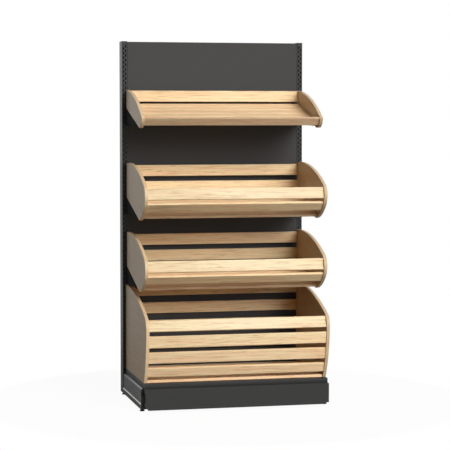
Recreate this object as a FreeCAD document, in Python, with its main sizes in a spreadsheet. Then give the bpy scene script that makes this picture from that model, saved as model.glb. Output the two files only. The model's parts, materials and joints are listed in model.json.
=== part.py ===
import FreeCAD, Part
import math
import os
import re
import Sketcher

# A single-sided shop wall unit for bread: two slotted uprights with sheet-steel
# back panels, a base with a deck and a kick plate, and four units of wooden
# boards. A shallow tray and two round-fronted baskets hang on pairs of steel
# brackets, tilted towards the customer, and a deep basket stands on the deck.
#
# Frame: +X to the right, the customer stands at -Y, +Z up, millimetres. The
# origin is on the floor, at the middle of the unit's width and depth.
# Each wooden unit is drawn from its seat, the lower back corner of its side
# boards: "reach" is forward of the seat and "rise" is above it.

# ------------------------------------------------------------------ sizes

DIMENSIONS = (
    # uprights and their slots
    ("bay_width", 1000, "between the centre lines of the uprights"),
    ("upright_width", 30, "across the front of an upright"),
    ("upright_depth", 80, "front to back"),
    ("upright_wall", 2, "wall of the tube"),
    ("upright_corner", 2, "radius of its corners"),
    ("upright_length", 1948, "cut length of the tube"),
    ("floor_gap", 15, "from the floor to the steelwork, feet screwed right in"),
    ("slot_pitch", 25.4, "between slots of one column"),
    ("slot_rows", 75, "slots in one column"),
    ("slot_width", 5, "across a slot"),
    ("slot_height", 14, "end to end"),
    ("slot_spread", 11, "between the two columns"),
    ("slot_first", 44, "lowest inner slot above the upright's foot"),
    ("cap_thick", 3, "flange of the plug in the upright's top"),
    ("cap_plug", 20, "depth of the plug in the tube"),
    ("cap_wall", 2, "wall of the plug"),
    ("fit_gap", 0.3, "play between parts that lift out"),
    # back panels and rails
    ("panel_rows", 16, "slot pitches that one back panel covers"),
    ("panel_count", 4, "full panels below the top one"),
    ("panel_sheet", 1, "sheet of the back panels"),
    ("panel_fold", 15, "depth of the folded edges"),
    ("panel_recess", 2, "panel face behind the uprights' faces"),
    ("panel_play", 0.5, "between a panel and an upright"),
    ("rail_height", 40, "height of the cross rails"),
    ("rail_depth", 25, "front to back"),
    ("rail_wall", 2, "sheet of the rails"),
    ("low_rail_lift", 5, "lower rail above the uprights' feet"),
    ("top_rail_drop", 25, "upper rail below the uprights' tops"),
    ("tie_spacing", 800, "between the wall-tie holes"),
    ("tie_hole", 8.5, "diameter of a wall-tie hole"),
    ("screw_shank", 5.5, "diameter of a rail screw"),
    ("screw_head", 10, "diameter of its head"),
    ("screw_head_thick", 3, "height of its head"),
    ("screw_length", 12, "under the head"),
    # base
    ("leg_length", 551, "box of the base leg"),
    ("leg_width", 24, "across the leg"),
    ("leg_height", 101, "height of the box"),
    ("leg_wall", 2, "wall of the box"),
    ("shoe_wall", 3, "sides of the channel under the leg"),
    ("shoe_floor", 2, "floor of that channel"),
    ("shoe_height", 30, "height of that channel"),
    ("end_plate", 2, "plate that closes the leg's front"),
    ("kick_slot_rise", 80, "upper kick-plate slot above the plate's foot"),
    ("kick_slot_rows", 2, "pitches between the two kick-plate slots"),
    ("deck_margin", 1, "bottom shelf inside the uprights' centre lines"),
    ("deck_lip", 27, "bottom shelf ahead of the plates on the legs"),
    ("deck_fold", 34, "depth of its folded edges"),
    ("deck_sheet", 1.2, "its sheet"),
    ("rib_width", 40, "stiffener under the deck"),
    ("rib_depth", 20, "its depth"),
    ("rib_sheet", 1.5, "its sheet"),
    ("kick_lead", 18, "its face ahead of the bottom shelf"),
    ("kick_foot", 14, "its lower edge above the floor"),
    ("kick_height", 113, "height of its face"),
    ("kick_sheet", 1.5, "its sheet"),
    ("kick_fold", 12, "depth of the folds along its top and bottom"),
    ("kick_corner", 14, "bevel of its lower corners"),
    ("kick_ear", 2, "sheet of its two ends"),
    ("ear_drop", 9, "its ends below the deck's folds"),
    ("clip_thick", 4.5, "edge clips on its ends"),
    ("clip_height", 22, "height of a clip"),
    ("clip_gap", 2, "clips ahead of the bottom shelf"),
    ("clip_low", 18, "lower clip above the plate's foot"),
    ("clip_high", 90, "upper clip above the plate's foot"),
    # levelling feet
    ("pad_size", 28, "diameter of a foot"),
    ("pad_top", 20, "diameter at its top"),
    ("pad_height", 8, "its height"),
    ("spindle_size", 10, "diameter of the screw"),
    ("spindle_length", 56, "length above the pad's socket"),
    ("spindle_socket", 4, "depth of the screw in the pad"),
    ("collar_flats", 15, "hexagon under the leg, across corners"),
    ("nut_corners", 18, "welded nut, across corners"),
    ("nut_height", 10, "its height"),
    ("thread_play", 0.05, "around the screw in its nut"),
    ("foot_inset", 41, "front feet behind the legs' fronts"),
    ("foot_back", 45, "rear feet behind the uprights' faces"),
    ("plug_plate", 4, "plate in the upright's lower end"),
    # boards
    ("board_width", 61, "width of the slats and boards"),
    ("board_thick", 15, "its thickness"),
    ("board_round", 2.5, "rounding of its long edges"),
    ("side_thick", 18, "side boards"),
    ("side_corner", 4, "radius of their corners"),
    ("side_round", 2, "rounding of their edges"),
    ("housing", 5, "depth of the housings that hold the slats' ends"),
    ("board_inset", 4, "slats behind the side boards' outline"),
    ("board_setback", 3, "back boards inside the side boards' back edges"),
    # what hangs
    ("hung_margin", 5, "tray and baskets inside the uprights' centre lines"),
    ("hang_gap", 25, "behind the tray and the baskets"),
    ("tilt", 15, "slope of their floors, degrees"),
    ("floor_lift", 18, "floor above the side boards' lower edges"),
    ("floor_start", 24, "from the back edge to the first floor slat"),
    # tray
    ("tray_row", 60, "slot of its brackets' upper hooks"),
    ("tray_seat", 14.4, "seat above that slot"),
    ("tray_back", 100, "height of the back edge"),
    ("tray_reach", 466, "depth"),
    ("tray_brow_drop", 52, "foremost corner below the seat"),
    ("tray_tip_back", 80, "end of the straight lower edge behind the front"),
    ("tray_crown", 970, "radius of the upper edge"),
    ("lip_width", 46, "front board of the tray"),
    ("lip_foot", 93, "its lower edge below the seat"),
    ("tray_back_drop", 3, "back board below the back corner"),
    # round-fronted baskets
    ("high_row", 40, "slot of the upper basket's brackets"),
    ("low_row", 25, "slot of the lower basket's brackets"),
    ("basket_seat", 31, "seat above that slot"),
    ("basket_back", 191, "height of the back edge"),
    ("basket_reach", 556, "depth"),
    ("basket_nose_rise", 28, "foremost point above the seat"),
    ("basket_brow_back", 36, "end of the upper edge behind the front"),
    ("basket_brow_rise", 86, "its height above the seat"),
    ("basket_chin_back", 23.4, "start of the lower curve behind the front"),
    ("basket_chin_drop", 28, "its depth below the seat"),
    ("basket_tip_back", 169, "lowest corner behind the front"),
    ("basket_front_foot", 56, "lowest front slat below the seat"),
    ("basket_front_gap", 26.5, "between the front slats"),
    ("basket_back_drop", 12, "upper back board below the back corner"),
    ("basket_back_gap", 28, "between the back boards"),
    # deep basket on the deck
    ("bin_margin", 2, "inside the uprights' centre lines"),
    ("bin_gap", 2, "behind it"),
    ("bin_back", 470, "height of the back edge"),
    ("bin_foot_inset", 33, "its lower front corner behind the bottom shelf's front"),
    ("bin_nose_rise", 290, "foremost point above the deck"),
    ("bin_brow_back", 39.3, "end of the upper edge behind the front"),
    ("bin_brow_rise", 350, "its height above the deck"),
    ("bin_tip_back", 76, "lower front corner behind the front"),
    ("bin_front_foot", 32.5, "lowest front slat above the deck"),
    ("bin_low_width", 52, "width of that slat"),
    ("bin_front_gap", 27, "between the front slats"),
    ("bin_back_drop", 3, "top back board below the back corner"),
    ("bin_back_gap", 38, "between the back boards"),
    # brackets
    ("arm_thick", 3, "plate of a bracket"),
    ("arm_rise", 20, "bracket above the seat, behind the side board"),
    ("arm_root", 92, "bracket below the seat, at the upright"),
    ("arm_reach", 300, "length under the side board"),
    ("arm_tip", 12, "height of its front end"),
    ("ledge_width", 20, "flange that the side board rests on"),
    ("ledge_thick", 3, "its sheet"),
    ("pin_size", 6, "locating pin on the flange"),
    ("pin_height", 10, "its height"),
    ("pin_play", 0.5, "around and above the pin in its hole"),
    ("pin_first", 60, "rear pin from the seat"),
    ("pin_last", 250, "front pin from the seat"),
    ("neck_height", 5, "hook where it passes the slot"),
    ("hook_drop", 6.5, "hook behind the upright's wall"),
    ("hook_thick", 3.7, "its thickness behind the wall"),
    ("hook_rest", 0.8, "neck above the slot's rounded end"),
    ("hook_rows", 2, "pitches between a bracket's hooks"),
)

# Places that follow from the sizes, worked out in the second sheet.
PLACES = (
    ("deck_reach", "leg_length + end_plate + deck_lip"),
    ("kick_reach", "deck_reach + kick_lead"),
    ("clip_depth", "kick_lead - clip_gap"),
    ("bin_reach", "deck_reach - bin_foot_inset - bin_gap + bin_tip_back"),
    ("face_y", "(bin_gap + bin_reach - upright_depth) / 2"),
    ("upright_x", "bay_width / 2"),
    ("upright_top", "floor_gap + upright_length"),
    ("slot_x", "upright_x - slot_spread / 2"),
    ("slot_zero", "floor_gap + slot_first"),
    ("slot_radius", "slot_width / 2"),
    ("slot_half", "slot_height / 2 - slot_width / 2"),
    ("slot_column", "slot_spread / 2"),
    ("slot_low", "slot_first - slot_pitch / 2"),
    ("slot_run", "(slot_rows - 1) * slot_pitch"),
    ("half_upright", "upright_width / 2"),
    ("half_bore", "upright_width / 2 - upright_wall"),
    ("bore_back", "upright_depth - upright_wall"),
    ("inner_x", "upright_x - upright_width / 2"),
    ("panel_y", "face_y + panel_recess"),
    ("panel_foot", "floor_gap + low_rail_lift + rail_height"),
    ("panel_height", "panel_rows * slot_pitch"),
    ("panel_half", "inner_x - panel_play"),
    ("back_of_panels", "panel_y + panel_fold"),
    ("top_rail_z", "upright_top - top_rail_drop - rail_height"),
    ("low_rail_z", "floor_gap + low_rail_lift"),
    ("leg_foot", "floor_gap + shoe_floor"),
    ("leg_top", "leg_foot + leg_height"),
    ("shoe_half", "leg_width / 2 + shoe_wall"),
    ("deck_top", "leg_top + deck_fold"),
    ("kick_slot_x", "slot_spread / 2"),
    ("kick_slot_z", "kick_slot_rise"),
    ("kick_slot_low", "kick_slot_rise - kick_slot_rows * slot_pitch"),
    ("plate_top", "leg_top - floor_gap"),
    ("leg_front_y", "face_y - leg_length - end_plate"),
    ("deck_half", "upright_x - deck_margin"),
    ("kick_half", "slot_x + kick_ear / 2"),
    ("kick_bevel_x", "kick_half - kick_corner"),
    ("hung_half", "upright_x - hung_margin"),
    ("bin_half", "upright_x - bin_margin"),
    ("hung_back_y", "face_y - hang_gap"),
    ("bin_back_y", "face_y - bin_gap"),
    ("tray_z", "slot_zero + tray_row * slot_pitch + tray_seat"),
    ("high_z", "slot_zero + high_row * slot_pitch + basket_seat"),
    ("low_z", "slot_zero + low_row * slot_pitch + basket_seat"),
    # outlines, as reach and rise from the seat
    ("tray_tip_reach", "tray_reach - tray_tip_back"),
    ("tray_tip_drop", "tray_tip_reach * tan(tilt * 1 deg)"),
    ("tray_chin_rise", "tray_tip_drop - tray_brow_drop"),
    ("tray_chin_lean", "tilt * 1 deg + atan(tray_chin_rise / tray_tip_back)"),
    ("tray_chin", "sqrt(tray_tip_back^2 + tray_chin_rise^2) / (2 * sin(tray_chin_lean))"),
    ("basket_brow_reach", "basket_reach - basket_brow_back"),
    ("basket_chin_reach", "basket_reach - basket_chin_back"),
    ("basket_tip_reach", "basket_reach - basket_tip_back"),
    ("basket_tip_drop", "basket_tip_reach * tan(tilt * 1 deg)"),
    ("basket_brow_step", "basket_brow_rise - basket_nose_rise"),
    ("basket_chin_step", "basket_nose_rise + basket_chin_drop"),
    ("basket_brow", "(basket_brow_back^2 + basket_brow_step^2) / (2 * basket_brow_back)"),
    ("basket_chin", "(basket_chin_back^2 + basket_chin_step^2) / (2 * basket_chin_back)"),
    ("basket_brow_turn", "asin(1 - basket_brow_back / basket_brow)"),
    ("basket_chin_turn", "acos(1 - basket_chin_back / basket_chin)"),
    ("basket_crown_rise", "basket_back - basket_brow_rise"),
    ("basket_crown_lean", "basket_brow_turn - atan(basket_crown_rise / basket_brow_reach)"),
    ("basket_crown", "sqrt(basket_brow_reach^2 + basket_crown_rise^2) / (2 * sin(basket_crown_lean))"),
    ("basket_jaw_run", "basket_chin_reach - basket_tip_reach"),
    ("basket_jaw_rise", "basket_tip_drop - basket_chin_drop"),
    ("basket_jaw_lean", "basket_chin_turn + atan(basket_jaw_rise / basket_jaw_run)"),
    ("basket_jaw", "sqrt(basket_jaw_run^2 + basket_jaw_rise^2) / (2 * cos(basket_jaw_lean))"),
    ("bin_brow_reach", "bin_reach - bin_brow_back"),
    ("bin_tip_reach", "bin_reach - bin_tip_back"),
    ("bin_brow_step", "bin_brow_rise - bin_nose_rise"),
    ("bin_brow", "(bin_brow_back^2 + bin_brow_step^2) / (2 * bin_brow_back)"),
    ("bin_front", "(bin_tip_back^2 + bin_nose_rise^2) / (2 * bin_tip_back)"),
    ("bin_brow_turn", "asin(1 - bin_brow_back / bin_brow)"),
    ("bin_crown_rise", "bin_back - bin_brow_rise"),
    ("bin_crown_lean", "bin_brow_turn - atan(bin_crown_rise / bin_brow_reach)"),
    ("bin_crown", "sqrt(bin_brow_reach^2 + bin_crown_rise^2) / (2 * sin(bin_crown_lean))"),
    # bracket arm, as distance behind the seat and rise above it
    ("arm_behind", "hang_gap - fit_gap"),
    ("arm_shoulder", "hang_gap / 10"),
    ("arm_corner", "arm_shoulder * tan(tilt * 1 deg) - ledge_thick"),
    ("arm_end_drop", "arm_reach * tan(tilt * 1 deg) + ledge_thick"),
    ("arm_end_foot", "arm_end_drop + arm_tip"),
)

doc = FreeCAD.newDocument("bread_rack")


def make_sheet(name, rows):
    """Write (alias, cell text, note) rows into a new spreadsheet."""
    sheet = doc.addObject("Spreadsheet::Sheet", name)
    for number, (alias, text, note) in enumerate(rows, start=1):
        sheet.set("A%d" % number, alias)
        sheet.set("B%d" % number, text)
        sheet.setAlias("B%d" % number, alias)
        sheet.set("C%d" % number, note)
    return sheet


HOME = {alias: "sizes." for alias, _, _ in DIMENSIONS}
HOME.update({alias: "places." for alias, _ in PLACES})


def known(formula):
    """The formula with each alias led by the sheet that holds it."""
    return re.sub(r"[a-z][a-z_]*", lambda word: HOME.get(word.group(), "") + word.group(), formula)


sizes = make_sheet("sizes", [(alias, "%s" % value, note) for alias, value, note in DIMENSIONS])
places = make_sheet("places", [(alias, "=" + known(formula), formula) for alias, formula in PLACES])
doc.recompute()


def size(alias):
    """The value of an alias; a leading minus turns its sign, and "0" is nought."""
    if alias.startswith("-"):
        return -size(alias[1:])
    if alias == "0":
        return 0.0
    sheet = sizes if HOME[alias] == "sizes." else places
    return float(getattr(sheet, alias))


# ---------------------------------------------------------------- helpers

NODES = {}


def node(label, shape_object):
    """Name a finished sub-part and keep it for export."""
    shape_object.Label = label
    NODES[label] = shape_object
    return shape_object


def bind(thing, values):
    """Set properties, from a formula of aliases or a plain number."""
    for name, value in values.items():
        if isinstance(value, str):
            thing.setExpression(name, known(value))
        else:
            target = FreeCAD.Units.Quantity(value)
            thing.setExpression(name, "%.9g" % target.Value)


def place(thing, x="0", y="0", z="0", lean=None):
    """Put a thing somewhere, turned about X by an angle in degrees."""
    if lean is not None:
        thing.Placement = FreeCAD.Placement(FreeCAD.Vector(), FreeCAD.Rotation(FreeCAD.Vector(1, 0, 0), 10))
        bind(thing, {"Placement.Rotation.Angle": lean})
    bind(thing, {"Placement.Base.x": x, "Placement.Base.y": y, "Placement.Base.z": z})
    return thing


def block(x, y, z, length, width, height, lean=None):
    """A box from its lower, left, front corner."""
    box = doc.addObject("Part::Box", "Block")
    bind(box, {"Length": length, "Width": width, "Height": height})
    return place(box, x, y, z, lean)


def rod(x, y, z, radius, height, axis="z"):
    """A cylinder from the middle of its foot, along Z, X or Y."""
    turns = {"z": FreeCAD.Rotation(), "x": FreeCAD.Rotation(FreeCAD.Vector(0, 1, 0), 90),
             "y": FreeCAD.Rotation(FreeCAD.Vector(1, 0, 0), -90)}
    cylinder = doc.addObject("Part::Cylinder", "Rod")
    cylinder.Placement.Rotation = turns[axis]
    bind(cylinder, {"Radius": radius, "Height": height})
    return place(cylinder, x, y, z)


def hexagon(x, y, z, corners, height):
    """A hexagonal prism, by its size across the corners."""
    prism = doc.addObject("Part::Prism", "Hexagon")
    prism.Polygon = 6
    bind(prism, {"Circumradius": "%s / 2" % corners, "Height": height})
    return place(prism, x, y, z)


def fuse(*things):
    """One solid from several that touch."""
    union = doc.addObject("Part::MultiFuse", "Union")
    union.Shapes = list(things)
    union.Refine = True
    return union


def group(*things):
    """Separate solids that share one node."""
    bundle = doc.addObject("Part::Compound", "Group")
    bundle.Links = list(things)
    return bundle


def cut(base, *tools):
    """The base with the tools taken out of it."""
    rest = doc.addObject("Part::Cut", "Cut")
    rest.Base = base
    rest.Tool = tools[0] if len(tools) == 1 else group(*tools)
    rest.Refine = True
    return rest


def origin_feature(body, role):
    return next(feature for feature in body.Origin.OriginFeatures if feature.Role == role)


def draw(body, plane, corners, radii=None):
    """A closed outline on one of the body's planes.

    corners are pairs of aliases. radii gives, for the edge that starts at a
    corner's number, the alias of the radius of an arc that bulges outwards.
    """
    radii = radii or {}
    sketch = body.newObject("Sketcher::SketchObject", "Outline")
    sketch.AttachmentSupport = (origin_feature(body, plane), [""])
    sketch.MapMode = "FlatFace"
    points = [FreeCAD.Vector(size(across), size(up), 0) for across, up in corners]
    count = len(points)
    turning = sum(points[i].cross(points[(i + 1) % count]).z for i in range(count))
    ends = []
    for number, start in enumerate(points):
        end = points[(number + 1) % count]
        if number in radii:
            chord = end - start
            radius = size(radii[number])
            bulge = radius - math.sqrt(radius ** 2 - (chord.Length / 2) ** 2)
            outwards = FreeCAD.Vector(chord.y, -chord.x, 0).normalize() * math.copysign(bulge, turning)
            edge = Part.Arc(start, (start + end) / 2 + outwards, end)
            sketch.addGeometry(edge, False)
            near = [sketch.getPoint(number, mark).distanceToPoint(start) for mark in (1, 2)]
            ends.append((1, 2) if near[0] < near[1] else (2, 1))
        else:
            sketch.addGeometry(Part.LineSegment(start, end), False)
            ends.append((1, 2))
    for number in range(count):
        after = (number + 1) % count
        join = Sketcher.Constraint("Coincident", number, ends[number][1], after, ends[after][0])
        sketch.addConstraint(join)
    for number, (across, up) in enumerate(corners):
        for kind, alias in (("DistanceX", across), ("DistanceY", up)):
            rule = Sketcher.Constraint(kind, -1, 1, number, ends[number][0], size(alias))
            index = sketch.addConstraint(rule)
            if alias != "0":
                sketch.setExpression("Constraints[%d]" % index, known(alias))
    for number, alias in radii.items():
        index = sketch.addConstraint(Sketcher.Constraint("Radius", number, size(alias)))
        sketch.setExpression("Constraints[%d]" % index, known(alias))
    return sketch


def plate(plane, corners, thickness, radii=None):
    """A flat piece of any outline, as a body whose pad grows from the plane."""
    body = doc.addObject("PartDesign::Body", "Plate")
    pad = body.newObject("PartDesign::Pad", "Pad")
    pad.Profile = draw(body, plane, corners, radii)
    bind(pad, {"Length": thickness})
    body.Tip = pad
    return body


def draw_slot(sketch, across, up):
    """A round-ended upright slot around a point given by two aliases."""
    radius = size("slot_radius")
    half = size("slot_half")
    x, y = size(across), size(up)
    first = sketch.GeometryCount
    normal = FreeCAD.Vector(0, 0, 1)
    top = Part.Circle(FreeCAD.Vector(x, y + half, 0), normal, radius)
    foot = Part.Circle(FreeCAD.Vector(x, y - half, 0), normal, radius)
    sketch.addGeometry(Part.ArcOfCircle(top, 0, math.pi), False)
    sketch.addGeometry(Part.LineSegment(FreeCAD.Vector(x - radius, y + half, 0),
                                        FreeCAD.Vector(x - radius, y - half, 0)), False)
    sketch.addGeometry(Part.ArcOfCircle(foot, math.pi, 2 * math.pi), False)
    sketch.addGeometry(Part.LineSegment(FreeCAD.Vector(x + radius, y - half, 0),
                                        FreeCAD.Vector(x + radius, y + half, 0)), False)
    for number in range(4):
        after = first + (number + 1) % 4
        sketch.addConstraint(Sketcher.Constraint("Tangent", first + number, 2, after, 1))
    sketch.addConstraint(Sketcher.Constraint("Vertical", first + 1))
    for arc, side, sign in ((first, "+", 1), (first + 2, "-", -1)):
        index = sketch.addConstraint(Sketcher.Constraint("DistanceX", -1, 1, arc, 3, x))
        sketch.setExpression("Constraints[%d]" % index, known(across))
        index = sketch.addConstraint(Sketcher.Constraint("DistanceY", -1, 1, arc, 3, y + sign * half))
        sketch.setExpression("Constraints[%d]" % index, known("%s %s slot_half" % (up, side)))
    index = sketch.addConstraint(Sketcher.Constraint("Radius", first, radius))
    sketch.setExpression("Constraints[%d]" % index, known("slot_radius"))


def slots(body, centres, depth):
    """Cut slots through the body's front face, which lies on its XZ plane."""
    sketch = body.newObject("Sketcher::SketchObject", "Slots")
    sketch.AttachmentSupport = (origin_feature(body, "XZ_Plane"), [""])
    sketch.MapMode = "FlatFace"
    for across, up in centres:
        draw_slot(sketch, across, up)
    pocket = body.newObject("PartDesign::Pocket", "SlotCut")
    pocket.Profile = sketch
    bind(pocket, {"Length": depth})
    body.Tip = pocket
    return pocket


def mirror(left):
    """The same thing on the right of the unit's middle."""
    twin = doc.addObject("Part::Mirroring", "Twin")
    twin.Source = left
    twin.Base = FreeCAD.Vector(0, 0, 0)
    twin.Normal = FreeCAD.Vector(1, 0, 0)
    return twin


def two_nodes(name, left):
    """A left node and its mirror image on the right."""
    node(name + "_left", left)
    node(name + "_right", mirror(left))


def both(*lefts):
    """Things on the left with their mirror images."""
    return [*lefts, *[mirror(left) for left in lefts]]


def lower(label, source, drop):
    """A second copy of a node, further down."""
    copy = doc.addObject("Part::Compound", "Copy")
    copy.Links = [NODES[source]]
    node(label, place(copy, "0", "0", "-(%s)" % drop))


def edge_numbers(shape, direction):
    """Numbers of the straight edges that run along a direction."""
    return [number for number, edge in enumerate(shape.Edges, start=1)
            if abs(edge.tangentAt(edge.FirstParameter).dot(direction)) > 0.999]


LONG_EDGES = edge_numbers(Part.makeBox(3, 2, 1), FreeCAD.Vector(1, 0, 0))


def fillet(body, names, radius):
    """Round some edges or faces of the body's last feature."""
    sharp = body.Tip
    soft = body.newObject("PartDesign::Fillet", "Fillet")
    soft.Base = (sharp, names)
    bind(soft, {"Radius": radius})
    body.Tip = soft
    doc.recompute([soft])


# ------------------------------------------------------------- the uprights
# Whatever stands on both sides is drawn on the left and mirrored.

def screw_hole(y, z):
    """A hole for a rail screw, through the rail's end and the upright's wall."""
    return rod("-inner_x - screw_length", y, z, "screw_shank / 2", "2 * screw_length", "x")


def rail_screw(y, z):
    """A pan-head screw through the rail's end into the upright."""
    return fuse(rod("-inner_x - screw_length + rail_wall", y, z, "screw_shank / 2", "screw_length", "x"),
                rod("rail_wall - inner_x", y, z, "screw_head / 2", "screw_head_thick", "x"))


def upright():
    """A slotted tube; its body's XZ plane is the face that carries the slots."""
    body = doc.addObject("PartDesign::Body", "Upright")
    tube = body.newObject("PartDesign::Pad", "Tube")
    tube.Profile = draw(body, "XY_Plane", (("-half_upright", "0"), ("half_upright", "0"),
                                           ("half_upright", "upright_depth"),
                                           ("-half_upright", "upright_depth")))
    bind(tube, {"Length": "upright_length"})
    body.Tip = tube
    doc.recompute([tube])
    long_edges = edge_numbers(tube.Shape, FreeCAD.Vector(0, 0, 1))
    fillet(body, ["Edge%d" % number for number in long_edges], "upright_corner")
    bore = body.newObject("PartDesign::Pocket", "Bore")
    bore.Profile = draw(body, "XY_Plane", (("-half_bore", "upright_wall"), ("half_bore", "upright_wall"),
                                           ("half_bore", "bore_back"), ("-half_bore", "bore_back")))
    bore.Reversed = True
    bind(bore, {"Length": "upright_length"})
    slot_cut = slots(body, (("slot_column", "slot_first"), ("-slot_column", "slot_low")), "upright_wall")
    rows = body.newObject("PartDesign::LinearPattern", "SlotRows")
    rows.Originals = [slot_cut]
    rows.Direction = (origin_feature(body, "Z_Axis"), [""])
    bind(rows, {"Length": "slot_run", "Occurrences": "slot_rows"})
    body.Tip = rows
    place(body, "-upright_x", "face_y", "floor_gap")
    return cut(body, *[screw_hole(*spot) for spot in RAIL_SCREWS])


def upright_cap():
    """A plastic plug with a flange, in the tube's open top."""
    flange = block("-upright_x - half_upright", "face_y", "upright_top",
                   "upright_width", "upright_depth", "cap_thick")
    plug = block("-upright_x - half_bore", "face_y + upright_wall", "upright_top - cap_plug",
                 "2 * half_bore", "bore_back - upright_wall", "cap_plug")
    hollow = block("-upright_x - half_bore + cap_wall", "face_y + upright_wall + cap_wall",
                   "upright_top - cap_plug", "2 * (half_bore - cap_wall)",
                   "bore_back - upright_wall - 2 * cap_wall", "cap_plug - cap_wall")
    return cut(fuse(flange, plug), hollow)


def back_panel(number):
    """A tray of thin sheet, open to the rear, folded on all four edges."""
    foot = "panel_foot + %d * panel_height" % number
    full = number < size("panel_count")
    height = "panel_height" if full else "upright_top - panel_foot - %d * panel_height" % number
    outside = block("-panel_half", "panel_y", foot, "2 * panel_half", "panel_fold", height)
    hollow = block("panel_sheet - panel_half", "panel_y + panel_sheet", foot + " + panel_sheet",
                   "2 * (panel_half - panel_sheet)", "panel_fold", height + " - 2 * panel_sheet")
    node("back_panel_%d" % (number + 1), cut(outside, hollow))


def rail(label, y, z, *holes):
    """A channel between the uprights, open to the front, with closed ends."""
    outside = block("-inner_x", y, z, "2 * inner_x", "rail_depth", "rail_height")
    hollow = block("rail_wall - inner_x", "%s - rail_wall" % y, "%s + rail_wall" % z,
                   "2 * (inner_x - rail_wall)", "rail_depth", "rail_height - 2 * rail_wall")
    node(label, cut(outside, hollow, *both(*holes)))


TOP_SCREW = ("back_of_panels + rail_depth / 2", "top_rail_z + rail_height / 2")
LOW_SCREW = ("panel_y + rail_depth / 2", "low_rail_z + rail_height / 2")
RAIL_SCREWS = (TOP_SCREW, LOW_SCREW)
TIE_HOLE = rod("-tie_spacing / 2", "back_of_panels", TOP_SCREW[1], "tie_hole / 2", "2 * rail_depth", "y")

two_nodes("upright", upright())
node("upright_caps", group(*both(upright_cap())))
for panel_number in range(int(size("panel_count")) + 1):
    back_panel(panel_number)
rail("top_rail", "back_of_panels", "top_rail_z", TIE_HOLE, screw_hole(*TOP_SCREW))
rail("bottom_rail", "panel_y", "low_rail_z", screw_hole(*LOW_SCREW))
node("rail_screws", group(*both(*[rail_screw(*spot) for spot in RAIL_SCREWS])))


# -------------------------------------------------------------- hooks, feet

def hook(x, slot_z, front, wall, thick):
    """A hook that passes a slot in a wall and drops behind it.

    front is the wall's outer face and slot_z the slot's middle.
    """
    foot = "%s - slot_height / 2 + hook_rest" % slot_z
    neck = block(x, "%s - 2 * fit_gap" % front, foot,
                 thick, "%s + hook_thick + 3 * fit_gap" % wall, "neck_height")
    tip = block(x, "%s + %s + fit_gap" % (front, wall), "%s - hook_drop" % foot,
                thick, "hook_thick", "neck_height + hook_drop")
    return [neck, tip]


def spindle_hole(y):
    return rod("-upright_x", y, "0", "spindle_size / 2 + thread_play",
               "leg_foot + plug_plate + 2 * nut_height")


def foot_pad(y):
    """A tapered glide with a socket for its screw."""
    cone = doc.addObject("Part::Cone", "Pad")
    bind(cone, {"Radius1": "pad_size / 2", "Radius2": "pad_top / 2", "Height": "pad_height"})
    place(cone, "-upright_x", y, "0")
    socket = rod("-upright_x", y, "pad_height - spindle_socket", "spindle_size / 2", "pad_height")
    return cut(cone, socket)


def foot_spindle(y):
    """The levelling screw, with the hexagon that a spanner turns."""
    screw = rod("-upright_x", y, "pad_height - spindle_socket", "spindle_size / 2", "spindle_length")
    collar = hexagon("-upright_x", y, "pad_height", "collar_flats", "floor_gap - pad_height - fit_gap")
    return fuse(screw, collar)


def foot_nut(y, foot):
    return cut(hexagon("-upright_x", y, foot, "nut_corners", "nut_height"), spindle_hole(y))


def foot_plug():
    """The plate in the upright's lower end that holds the rear foot's nut."""
    plug = block("-upright_x - half_bore", "face_y + upright_wall", "floor_gap",
                 "2 * half_bore", "bore_back - upright_wall", "plug_plate")
    return cut(plug, spindle_hole("face_y + foot_back"))


FRONT_FOOT = "face_y - leg_length + foot_inset"
REAR_FOOT = "face_y + foot_back"
for end, foot_y in (("front", FRONT_FOOT), ("rear", REAR_FOOT)):
    two_nodes("foot_pad_" + end, foot_pad(foot_y))
    two_nodes("foot_spindle_" + end, foot_spindle(foot_y))
node("foot_nuts", group(*both(foot_nut(FRONT_FOOT, "leg_foot + leg_wall"),
                              foot_nut(REAR_FOOT, "floor_gap + plug_plate"))))
node("upright_foot_plugs", group(*both(foot_plug())))


# ----------------------------------------------------------------- the base

def base_leg():
    """A box beam from the upright forwards."""
    y = "face_y - leg_length"
    outside = block("-upright_x - leg_width / 2", y, "leg_foot", "leg_width", "leg_length", "leg_height")
    hollow = block("-upright_x - leg_width / 2 + leg_wall", "%s - leg_wall" % y,
                   "leg_foot + leg_wall", "leg_width - 2 * leg_wall", "leg_length + 2 * leg_wall",
                   "leg_height - 2 * leg_wall")
    return cut(outside, hollow, spindle_hole(FRONT_FOOT))


def base_shoe():
    """The channel that wraps the leg's lower edge and stands out as a ledge."""
    y = "face_y - leg_length"
    outside = block("-upright_x - shoe_half", y, "floor_gap", "2 * shoe_half", "leg_length", "shoe_height")
    room = block("-upright_x - leg_width / 2", "%s - leg_wall" % y, "leg_foot",
                 "leg_width", "leg_length + 2 * leg_wall", "shoe_height")
    return cut(outside, room, spindle_hole(FRONT_FOOT))


def front_plate():
    """The slotted plate that closes the leg and carries the kick plate."""
    body = plate("XZ_Plane", (("-shoe_half", "0"), ("shoe_half", "0"),
                              ("shoe_half", "plate_top"), ("-shoe_half", "plate_top")), "end_plate")
    body.Tip.Reversed = True
    slots(body, [(column, row) for column in ("-slot_column", "slot_column")
                 for row in ("kick_slot_z", "kick_slot_low")], "end_plate")
    return place(body, "-upright_x", "leg_front_y", "floor_gap")


def leg_hooks():
    """A plate inside the leg's rear end, hooked into the upright's lowest slots."""
    x = "-slot_x - arm_thick / 2"
    web = block(x, "face_y - 2 * leg_height / 3", "leg_foot + leg_wall",
                "arm_thick", "2 * leg_height / 3 - fit_gap", "leg_height - 2 * leg_wall")
    low = hook(x, "slot_zero", "face_y", "upright_wall", "arm_thick")
    high = hook(x, "slot_zero + slot_pitch", "face_y", "upright_wall", "arm_thick")
    return fuse(web, *low, *high)


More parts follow.
